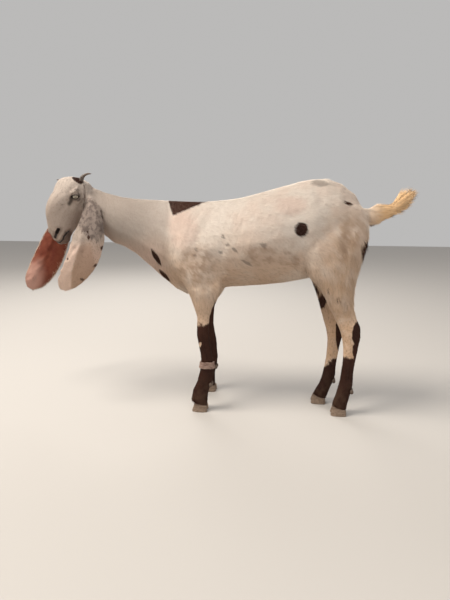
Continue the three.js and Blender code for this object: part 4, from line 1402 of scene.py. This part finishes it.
short_spike, short_places = spike("short_spike", [(0, 1.0, 0), (1, 0, -0.02)])
long_spike, long_places = spike("long_spike", [
    (0, 0.8, 0), (0.35, 1.0, 0.25), (0.72, 0.62, 0.10), (1, 0, -0.55)])
print("spike faces", len(short_spike.data.polygons), len(long_spike.data.polygons))

# %% The coat's tree
tree = new_tree("coat", [
    ("Zone", "Int", 0), ("Density", "Float", 1e5), ("Seed", "Int", 1), ("Spike", "Object", None),
    ("Width", "Float", 0.0012), ("Lean", "Float", 0.3), ("Stray", "Float", 0.25), ("Clump", "Float", 0.3),
    ("Clump Size", "Float", 0.010), ("Material", "Material", None)])
wire = Wiring(tree)


def chance(low, high, number, kind="FLOAT"):
    out = wire.add("FunctionNodeRandomValue", {"data_type": kind},
                   {"Seed": wire.plus(wire.given["Seed"], number)} |
                   ({0: low, 1: high} if kind == "FLOAT_VECTOR" else {2: low, 3: high}))
    return out[0] if kind == "FLOAT_VECTOR" else out[1]


in_zone = wire.add("FunctionNodeCompare", {"data_type": "INT", "operation": "EQUAL"},
                   {2: wire.named("zone", "INT"), 3: wire.given["Zone"]})[0]
scatter = wire.add("GeometryNodeDistributePointsOnFaces", {"distribute_method": "RANDOM"}, {
    "Mesh": wire.given["Geometry"], "Selection": in_zone, "Seed": wire.given["Seed"],
    "Density": wire.times(wire.given["Density"], wire.named("cover"))})
here = wire.add("GeometryNodeInputPosition")[0]
outward = scatter["Normal"]
# Towards the middle of the clump that the root belongs to.
cells = wire.add("ShaderNodeTexVoronoi", {}, {
    "Vector": wire.vector("DIVIDE", here, wire.given["Clump Size"]), "Scale": 1.0})
middle_of = wire.vector("MULTIPLY", cells["Position"], wire.given["Clump Size"])
inward = wire.scaled(wire.vector("SUBTRACT", middle_of, here),
                     wire.maths("DIVIDE", wire.given["Clump"], wire.given["Clump Size"]))
strayed = wire.scaled(chance((-1, -1, -1), (1, 1, 1), 11, "FLOAT_VECTOR"), wire.given["Stray"])
flow = wire.vector("ADD", wire.named("lie", "FLOAT_VECTOR"), wire.vector("ADD", inward, strayed))
off = wire.scaled(outward, wire.vector("DOT_PRODUCT", flow, outward))
flow = wire.vector("NORMALIZE", wire.vector("SUBTRACT", flow, off))
lean = wire.times(wire.given["Lean"], chance(0.75, 1.2, 12))
direction = wire.vector("ADD", wire.scaled(flow, wire.maths("COSINE", lean)),
                        wire.scaled(outward, wire.maths("SINE", lean)))
rotation = wire.add("FunctionNodeAxesToRotation", {"primary_axis": "Y", "secondary_axis": "Z"},
                    {0: direction, 1: outward})[0]
length = wire.times(wire.named("tuft"), MM, chance(0.75, 1.25, 13))
width = wire.times(wire.given["Width"], chance(0.75, 1.2, 14))
rooted = wire.store(scatter["Points"], "root", "FLOAT_VECTOR", here)
rooted = wire.store(rooted, "outward", "FLOAT_VECTOR", outward)
patchy = wire.add("ShaderNodeTexNoise", {}, {"Vector": here, "Scale": 55.0, "Detail": 2.0})[0]
shade = wire.plus(wire.times(chance(0.0, 1.0, 15), 0.6), wire.times(patchy, 0.4))
shaded = wire.store(rooted, "shade", "FLOAT", shade)
spikes = wire.add("GeometryNodeObjectInfo", {}, {"Object": wire.given["Spike"]})["Geometry"]
size = wire.together(width, length, width)
placed = wire.add("GeometryNodeInstanceOnPoints", {}, {
    "Points": shaded, "Instance": spikes, "Rotation": rotation, "Scale": size})[0]
solid = wire.add("GeometryNodeRealizeInstances", {}, {"Geometry": placed})[0]
finished = wire.add("GeometryNodeSetMaterial", {}, {"Geometry": solid, "Material": wire.given["Material"]})
wire.finish(finished[0])
print("coat tree", len(tree.nodes), "nodes")

# %% Zones of the coat
ZONES = ["head", "neck", "trunk_front_left", "trunk_rear_left", "trunk_front_right", "trunk_rear_right",
         "forelegs", "hindlegs", "ears", "tail"]
first_loop = read(skin.data.polygons, "loop_start", 1, np.int32)
corner = read(skin.data.loops, "vertex_index", 1, np.int32)[first_loop]
face_part = part[corner]
centres = face_middles(skin.data)
trunk_middle = place("trunk", 0, 0.47, 0).y
zone = np.zeros(len(centres), int)
for name, number in PART.items():
    where = face_part == number
    if name == "trunk":
        zone[where] = 2 + (centres[where, 1] > trunk_middle) + 2 * (centres[where, 0] < spine_x)
    else:
        group = "ears" if "ear" in name else name.split("_")[0] + "s" if "leg" in name else name
        zone[where] = ZONES.index(group)
remember(skin.data, "zone", zone, "FACE")
cover = np.clip(1 - bare, 0, 1)
cover = np.where(share["ears"] > 0.5, np.maximum(cover, 0.9 * rim), cover)
remember(skin.data, "cover", cover)
face_area = read(skin.data.polygons, "area", 1)
bare_area = face_area * cover[corner]
area = np.bincount(zone, bare_area, len(ZONES))
print({name: round(float(value) * 1e4) for name, value in zip(ZONES, area)}, "square centimetres")


# %% Rolling a part out flat
def axis_of(points):
    middle_point = points.mean(0)
    line = np.linalg.svd((points - middle_point)[:: max(1, len(points) // 4000)], full_matrices=False)[2][0]
    return middle_point, line


def rolled_out(points, axis):
    """Places on a map: the turn round the axis and the share along it, filling the map from 0 to 1."""
    middle_point, line = axis
    along = (points - middle_point) @ line
    side_axis = unit(np.cross(line, [0.31, 0.12, 0.94]))
    third = np.cross(line, side_axis)
    turn = np.arctan2((points - middle_point) @ third, (points - middle_point) @ side_axis)
    spread = np.stack([turn, along], 1)
    low, high = spread.min(0), spread.max(0)
    return 0.004 + 0.989 * (spread - low) / np.maximum(high - low, 1e-9)


KEPT = ["root", "shade", "tip", "face", "opening", "lip", "sharp_face", "sharp_edge", "material_index"]


def trim_layers(mesh):
    """Removes the arrays that neither the hair's material nor the faces need."""
    for name in [layer.name for layer in mesh.attributes if not layer.is_internal and not layer.is_required]:
        if name not in KEPT and name in mesh.attributes:
            mesh.attributes.remove(mesh.attributes[name])


PATCH_SIZE = 0.003  # of the map's width


def bake_map(mesh, groups, places):
    """Lays each tuft on the map as a small patch at its root; groups split a piece into columns."""
    roots = read(mesh.attributes["root"].data, "vector", 3)
    count = len(places)
    first = roots[::count]
    which = groups(first)
    columns = int(which.max()) + 1
    at = np.zeros((len(first), 2))
    for column in range(columns):
        mine = which == column
        at[mine] = rolled_out(first[mine], axis_of(first[mine]))
    at[:, 0] = (at[:, 0] * 0.98 + which) / columns
    corners = read(mesh.loops, "vertex_index", 1, np.int32)
    spread = at[corners // count] + (places[corners % count] - 0.5) * PATCH_SIZE
    mesh.uv_layers.new(name="OFBake").data.foreach_set("uv", spread.ravel())


def soft_shading(mesh, under):
    """Turns the tufts' shading normals most of the way to the skin's, so that the coat shades as one."""
    own = read(mesh.vertex_normals, "vector", 3)
    mesh.normals_split_custom_set_from_vertices(unit(0.30 * own + 0.70 * under))


# %% Growing the coat
def in_one(points):
    return np.zeros(len(points), int)


def by_side(points):
    return (points[:, 0] < spine_x).astype(int)


# Tufts for a square centimetre, their width in millimetres, lean in degrees, how far they stray, how
# much they clump and over how many millimetres, then the spike and the columns of the map.
COAT_PIECES = {
    "head": (53, 0.60, 9, 0.14, 0.06, 5, short_spike, in_one),
    "neck": (26.5, 1.00, 10, 0.13, 0.10, 12, short_spike, in_one),
    "trunk_front_left": (30.5, 1.00, 9, 0.13, 0.10, 13, short_spike, in_one),
    "trunk_rear_left": (28, 1.10, 12, 0.16, 0.24, 15, short_spike, in_one),
    "trunk_front_right": (30.5, 1.00, 9, 0.13, 0.10, 13, short_spike, in_one),
    "trunk_rear_right": (28, 1.10, 12, 0.16, 0.24, 15, short_spike, in_one),
    "forelegs": (26, 0.80, 12, 0.18, 0.20, 7, short_spike, by_side),
    "hindlegs": (19, 1.05, 14, 0.20, 0.34, 12, short_spike, by_side),
    "ears": (38, 0.60, 9, 0.18, 0.10, 7, short_spike, by_side),
    "tail": (53, 1.50, 22, 0.20, 0.40, 20, long_spike, in_one),
}
PLACES = {short_spike.name: short_places, long_spike.name: long_places}
coat = {}
for number, name in enumerate(ZONES):
    amount, width, lean, stray, clump, clump_size, template, columns = COAT_PIECES[name]
    grown = added("coat_" + name, skin.data)
    nodes_modifier(grown, tree, {
        "Zone": number, "Density": amount * 1e4, "Seed": 17 + number, "Spike": template,
        "Width": width * MM, "Lean": math.radians(lean), "Stray": stray, "Clump": clump,
        "Clump Size": clump_size * MM, "Material": hair})
    grown = baked(grown, "coat_" + name)
    bake_map(grown.data, columns, PLACES[template.name])
    under = read(grown.data.attributes["outward"].data, "vector", 3)
    trim_layers(grown.data)
    soft_shading(grown.data, under)
    coat[name] = grown
    print(name, len(grown.data.polygons), "faces")
bpy.data.objects.remove(short_spike)
bpy.data.objects.remove(long_spike)
print("coat", sum(len(piece.data.polygons) for piece in coat.values()), "faces")

# %% [markdown]
# ## Eyes
#
# A goat's pupil is a level slot in a pale iris, and it is set back under a clear bulge. The ball
# here is turned from rings round its line of sight, so that each point knows how far it lies from
# the middle of the iris. The colour comes from those two distances, and a clear coat gives the wet
# shine.

# %% Two eyeballs
BULGE, CORNEA = 0.9, 9.5  # height and radius of the clear bulge, in millimetres


def eyeball(side):
    """A ball of rings about the line of sight, with the bulge of the cornea."""
    sign = SIDES[side]
    flip = np.array([sign, 1, 1])
    gaze, across, upright = LOOK * flip, ALONG * flip, UPWARD * flip
    rings, spokes = 40, 56
    centre = np.array(EYE) * flip
    verts, iris_places = [centre + gaze * (BALL + BULGE)], [(0, 0, 0)]
    for ring in range(1, rings):
        turn = math.pi * (ring / rings) ** 1.25
        for spoke in range(spokes):
            round_about = math.tau * spoke / spokes
            far = BALL * math.sin(turn)
            bulge = BULGE * max(0.0, 1 - (far / CORNEA) ** 2) if turn < 1.5 else 0.0
            a, b = far * math.cos(round_about), far * math.sin(round_about)
            verts.append(centre + gaze * (BALL * math.cos(turn) + bulge) + across * a + upright * b)
            iris_places.append((a * MM, b * MM, turn))
    verts.append(centre - gaze * BALL)
    iris_places.append((0, 0, math.pi))
    faces = [face[::-1] for face in fan(1, spokes, 0)]
    for ring in range(rings - 2):
        faces += ring_faces(1 + ring * spokes, spokes)
    faces += fan(1 + (rings - 2) * spokes, spokes, len(verts) - 1)
    thing = closed("eyeball_" + side, [tuple(from_head(v)) for v in verts], faces)
    remember(thing.data, "iris", np.array(iris_places))
    return thing


eyes = {side: eyeball(side) for side in SIDES}
print("eyeballs", {side: len(ball.data.polygons) for side, ball in eyes.items()})

# %% The wet eye
IRIS_DARK, IRIS_LIGHT, IRIS_EDGE = (0.29, 0.235, 0.165), (0.46, 0.405, 0.32), (0.035, 0.022, 0.016)
ROUND_PUPIL, PUPIL, EYE_CORNER = (0.24, 0.17, 0.10), (0.008, 0.007, 0.008), (0.055, 0.030, 0.022)
SLOT_LENGTH, SLOT_HEIGHT = 4.1, 1.45  # half sizes of the pupil in millimetres
eye_wet, wire = material("eye", roughness=0.16, coat_weight=1.0, coat_roughness=0.03)
metres_along, metres_up, _ = wire.apart(wire.attribute("iris", "Vector"))
mm_along, mm_up = wire.times(metres_along, 1000.0), wire.times(metres_up, 1000.0)
out_from = wire.vector("LENGTH", wire.together(mm_along, mm_up))
slot_along = wire.maths("POWER", wire.maths("DIVIDE", wire.maths("ABSOLUTE", mm_along), SLOT_LENGTH), 4.0)
slot_up = wire.maths("POWER", wire.maths("DIVIDE", wire.maths("ABSOLUTE", mm_up), SLOT_HEIGHT), 3.0)
pupil = wire.rise(wire.plus(slot_along, slot_up), 1.20, 0.85)
spoke_turn = wire.maths("ARCTAN2", mm_up, mm_along)
streaks = wire.noise(wire.together(wire.times(spoke_turn, 7.0), wire.times(out_from, 0.25)), 3.0, 3.0, 0.6)
iris = wire.blend(wire.rise(streaks, 0.35, 0.65), IRIS_DARK, IRIS_LIGHT)
iris = wire.blend(wire.rise(out_from, 3.2, 5.2, 0.35, 0.0), iris, ROUND_PUPIL)
iris = wire.blend(wire.rise(out_from, 7.4, 9.6), iris, IRIS_EDGE)
iris = wire.blend(wire.rise(out_from, 11.0, 12.6), iris, EYE_CORNER)
wire.coated_with(wire.blend(pupil, iris, PUPIL))
for ball in eyes.values():
    ball.data.materials.append(eye_wet)
print("eye shader", len(wire.tree.nodes), "nodes")

# %% [markdown]
# ## Horns
#
# A young goat's horn is a curved cone with a ridge in front and rings close together at the root. A
# path of five places is smoothed, and a section is carried along it; the rings are a ripple of its
# radius.

# %% Ringed horns
HORN_PATHS = {
    "left": [(31, -24, -10), (36, -11, 3), (43, 2, 7), (52, 13, 4), (60, 21, -4)],
    "right": [(-31, -26, -11), (-46, -24, -1), (-61, -24, 4), (-77, -25, 8.5), (-92, -26, 12)],
}
HORN_RINGS, HORN_SPOKES = 110, 28
HORN_ROOT, HORN_TIP = 10.4, 1.2  # radius in millimetres


def smooth_path(points, steps):
    """A curve through the points, by blending the two neighbouring parabolas."""
    points = np.array(points, float)
    padded = np.concatenate([[2 * points[0] - points[1]], points, [2 * points[-1] - points[-2]]])
    at = np.linspace(0, len(points) - 1.0001, steps)
    i, t = at.astype(int), (at % 1)[:, None]
    a, b, c, d = (padded[i + k] for k in range(4))
    bend, twist = 2 * a - 5 * b + 4 * c - d, 3 * b - a - 3 * c + d
    return 0.5 * (2 * b + (c - a) * t + bend * t ** 2 + twist * t ** 3)


def ringed_horn(side):
    path = smooth_path(HORN_PATHS[side], HORN_RINGS)
    ahead = unit(np.gradient(path, axis=0))
    front = unit(np.cross(ahead, np.cross(np.array([0, -1.0, 0.4]), ahead)))
    beside = np.cross(ahead, front)
    along = np.linspace(0, 1, HORN_RINGS)
    radius = HORN_ROOT + (HORN_TIP - HORN_ROOT) * along ** 1.15
    radius *= np.sqrt(np.clip((1 - along) / 0.035, 0, 1)) * 0.35 + 0.65
    ripples = 0.30 * np.sin(along ** 0.75 * 95) * (1 - between(along, 0.35, 0.85))
    ripples += 0.12 * np.sin(along * 160)
    turns = np.arange(HORN_SPOKES) * math.tau / HORN_SPOKES
    keel = 1 + 0.10 * np.exp(-((turns + math.pi) % math.tau - math.pi) ** 2 / 0.25)
    flattened = np.stack([np.cos(turns) * keel, np.sin(turns) * 0.86], 1)
    grow = (radius + ripples * (radius / 9))[:, None, None]
    section = flattened[None, :, :1] * front[:, None] + flattened[None, :, 1:] * beside[:, None]
    rings = path[:, None] + grow * section
    tip_point = path[-1] + ahead[-1] * 0.8
    verts = np.concatenate([rings.reshape(-1, 3), [path[0]], [tip_point]])
    faces = []
    for ring in range(HORN_RINGS - 1):
        faces += ring_faces(ring * HORN_SPOKES, HORN_SPOKES)
    faces += [((k + 1) % HORN_SPOKES, k, len(verts) - 2) for k in range(HORN_SPOKES)]
    faces += fan((HORN_RINGS - 1) * HORN_SPOKES, HORN_SPOKES, len(verts) - 1)
    thing = closed("ringed_horn_" + side, [tuple(from_head(v)) for v in verts], faces)
    remember(thing.data, "along", np.concatenate([np.repeat(along, HORN_SPOKES), [0, 1]]))
    return thing


horns = {side: ringed_horn(side) for side in SIDES}
print("horns", {side: len(horn.data.polygons) for side, horn in horns.items()})

# %% Horn, with bands and dust
HORN_DARK, HORN_LIGHT = (0.060, 0.042, 0.034), (0.155, 0.115, 0.092)
HORN_END, HORN_DUST = (0.075, 0.040, 0.022), (0.30, 0.24, 0.19)
keratin, wire = material("horn", roughness=0.5)
up_horn = wire.attribute("along")
grain = wire.noise(wire.on_object(), 260.0, 3.0, 0.6)
bands = wire.noise(wire.together(wire.times(up_horn, 26.0), wire.times(grain, 0.6)), 1.6, 2.0, 0.6)
tone = wire.blend(wire.rise(bands, 0.35, 0.65), HORN_DARK, HORN_LIGHT)
tone = wire.blend(wire.rise(up_horn, 0.45, 0.95), tone, HORN_END)
wire.coated_with(tinted(tone, HORN_DUST, wire.rise(grain, 0.52, 0.72), 0.35))
wire.bumped_by(wire.plus(grain, bands), 0.35, 0.0008)
for horn in horns.values():
    horn.data.materials.append(keratin)
print("horn shader", len(wire.tree.nodes), "nodes")

# %% [markdown]
# ## Claws and dewclaws
#
# Their solids already have the right size, but flat facets. A fine remesh and a few easing passes
# round them while the sole stays flat, and a ripple down the wall of each claw makes its growth rings.

# %% Rounded copies of small solids
def rounded(node, voxel, passes, name):
    """A finely netted and eased copy of a CAD solid."""
    work = swollen(node, 0)
    mesh = bpy.data.meshes.new(name)
    work.to_mesh(mesh)
    work.free()
    thing = added(name, mesh)
    modifier = thing.modifiers.new("net", "REMESH")
    modifier.mode = "VOXEL"
    modifier.voxel_size = voxel * MM
    thing = baked(thing, name)
    fine_net = Net(thing.data)
    fine_net.ease(passes, 0.8)
    fine_net.facing()
    smooth(thing.data)
    return thing, fine_net


claws = {}
for claw in CLAWS:
    node = f"hoof_{claw}"
    thing, claw_net = rounded(node, 1.3, 9, f"claw_{claw}")
    low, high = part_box(node)
    height = claw_net.points[:, 2] / (high.z - low.z)
    front_back = (claw_net.points[:, 1] - low.y) / (high.y - low.y)
    facing = claw_net.facing()
    wall = between(height, 0.10, 0.25) * (1 - between(np.abs(facing[:, 2]), 0.6, 0.9))
    rings = np.sin((height - 0.25 * front_back) * 30 + 2.0 * ripple(claw_net.points, 0.05, 9))
    claw_net.points += facing * (rings * wall * 0.22 * MM)[:, None]
    claw_net.points += facing * (ripple(claw_net.points, 0.010, 4) * wall * 0.12 * MM)[:, None]
    worn = (1 - between(height, 0.02, 0.14)) * (0.5 + 0.5 * ripple(claw_net.points, 0.012, 6))
    claw_net.points -= facing * [1, 1, 0] * (worn * 0.5 * MM)[:, None]
    claw_net.points[:, 2] = np.maximum(claw_net.points[:, 2], low.z + 0.0001)
    claw_net.facing()
    claws[claw] = thing
dewclaws = {claw: rounded(f"dewclaw_{claw}", 0.9, 6, f"small_claw_{claw}")[0] for claw in CLAWS}
print("claws", sum(len(thing.data.polygons) for thing in claws.values()), "dewclaws", len(dewclaws))

# %% Claw and dewclaw horn
CLAW_DARK, CLAW_LIGHT = (0.120, 0.078, 0.052), (0.235, 0.165, 0.115)
CORONET, CLAW_DUST = (0.075, 0.043, 0.030), (0.30, 0.215, 0.155)
DEWCLAW_DARK, DEWCLAW_LIGHT = (0.060, 0.038, 0.027), (0.130, 0.088, 0.064)
claw_horn, wire = material("claw_horn", roughness=0.62)
here = wire.on_object()
px, py, pz = wire.apart(here)
grain = wire.noise(here, 300.0, 3.0, 0.6)
layer_place = wire.together(wire.times(px, 40.0), wire.times(py, 40.0), wire.times(pz, 420.0))
layers = wire.noise(layer_place, 1.0, 3.0, 0.6)
tone = wire.blend(wire.rise(layers, 0.35, 0.65), CLAW_DARK, CLAW_LIGHT)
tone = wire.blend(wire.rise(pz, 0.020, 0.034, 0.0, 0.55), tone, CORONET)
dust = wire.times(wire.rise(grain, 0.42, 0.62), wire.rise(pz, 0.030, 0.004, 0.15, 0.75))
wire.coated_with(wire.blend(dust, tone, CLAW_DUST))
wire.bumped_by(wire.plus(layers, grain), 0.5, 0.0010)
dew_horn, wire = material("dewclaw_horn", roughness=0.58)
grain = wire.noise(wire.on_object(), 420.0, 3.0, 0.6)
wire.coated_with(wire.blend(wire.rise(grain, 0.35, 0.65), DEWCLAW_DARK, DEWCLAW_LIGHT))
wire.bumped_by(grain, 0.4, 0.0006)
for things, finish in ((claws, claw_horn), (dewclaws, dew_horn)):
    for thing in things.values():
        thing.data.materials.append(finish)
print("finishes of the feet", claw_horn.name, dew_horn.name)

# %% [markdown]
# ## The cloth band
#
# A strip of thin cotton is wound round the left foreleg below the knee. Its solid is a plain ring. The
# copy is netted finely, then pressed into soft creases that run round the leg, with wavy edges
# and a few pulls; the weave is a bump of two crossed waves.

# %% A creased strip
strip, strip_net = rounded("leg_band", 1.0, 5, "cloth_band")
low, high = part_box("leg_band")
share_up = (strip_net.points[:, 2] - low.z) / (high.z - low.z)
centre_line = (low + high) / 2
turn = np.arctan2(strip_net.points[:, 1] - centre_line.y, strip_net.points[:, 0] - centre_line.x)
facing = strip_net.facing()
outer = between((facing * (strip_net.points - np.array(centre_line)) * [1, 1, 0]).sum(1), 0.0, 0.006)
creases = np.sin(share_up * 21 + 1.6 * np.sin(turn * 2 + 0.6) + 0.8 * np.sin(turn * 5))
pulls = ripple(np.stack([turn * 0.02, share_up * 0.02], 1), 0.012, 12)
strip_net.points += facing * (outer * (0.75 * creases + 0.45 * pulls) * MM)[:, None]
wavy_edge = 1.3 * np.sin(turn * 2 + 1.0) + 0.6 * np.sin(turn * 5)
strip_net.points[:, 2] += wavy_edge * np.abs(share_up - 0.5) * 2 * MM
strip_net.facing()
remember(strip.data, "turn", turn)
print("band", len(strip.data.polygons), "faces")

# %% Stained cotton
COTTON_PALE, COTTON_STAINED, THREAD_SHADE = (0.33, 0.225, 0.180), (0.17, 0.100, 0.078), (0.20, 0.14, 0.12)
cotton, wire = material("cotton", roughness=0.88)
here = wire.on_object()
warp = wire.maths("SINE", wire.times(wire.attribute("turn"), 95.0))
weft = wire.maths("SINE", wire.times(wire.apart(here)[2], 5200.0))
weave = wire.times(warp, weft)
stain = wire.noise(here, 70.0, 3.0, 0.6)
cloth = wire.blend(wire.rise(stain, 0.35, 0.68), COTTON_PALE, COTTON_STAINED)
wire.coated_with(wire.blend(wire.rise(weave, -1.0, 1.0, 0.16, 0.0), cloth, THREAD_SHADE))
wire.bumped_by(weave, 0.4, 0.0005)
strip.data.materials.append(cotton)
print("cotton shader", len(wire.tree.nodes), "nodes")

# %% [markdown]
# ## Putting the pieces on the frame
#
# The whole goat is one still body. Each piece is hung on it, and the solids that it replaces are
# hidden: the fleshy ones for the skin, those that each hair piece covers, and each hard piece's own solid.

# %% Bodies, and hiding the solids that the pieces replace
COVERS = {"head": ["head"], "neck": ["neck"], "tail": ["tail"], "ears": ["ear_left", "ear_right"],
          "forelegs": ["foreleg_left", "foreleg_right"], "hindlegs": ["hindleg_left", "hindleg_right"]}


def settle(piece, finish, *nodes):
    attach(piece, "root")
    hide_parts(*nodes)


smooth(skin.data)
settle(skin, "hide", *FLESH)
for name, piece in coat.items():
    settle(piece, "ear_hide" if name == "ears" else "hide", *COVERS.get(name, ["trunk"]))
for side in SIDES:
    settle(eyes[side], "eye", f"eye_{side}")
    settle(horns[side], "horn", f"horn_{side}")
for claw in CLAWS:
    settle(claws[claw], "hoof", f"hoof_{claw}")
    settle(dewclaws[claw], "dewclaw", f"dewclaw_{claw}")
settle(strip, "cloth_strip", "leg_band")
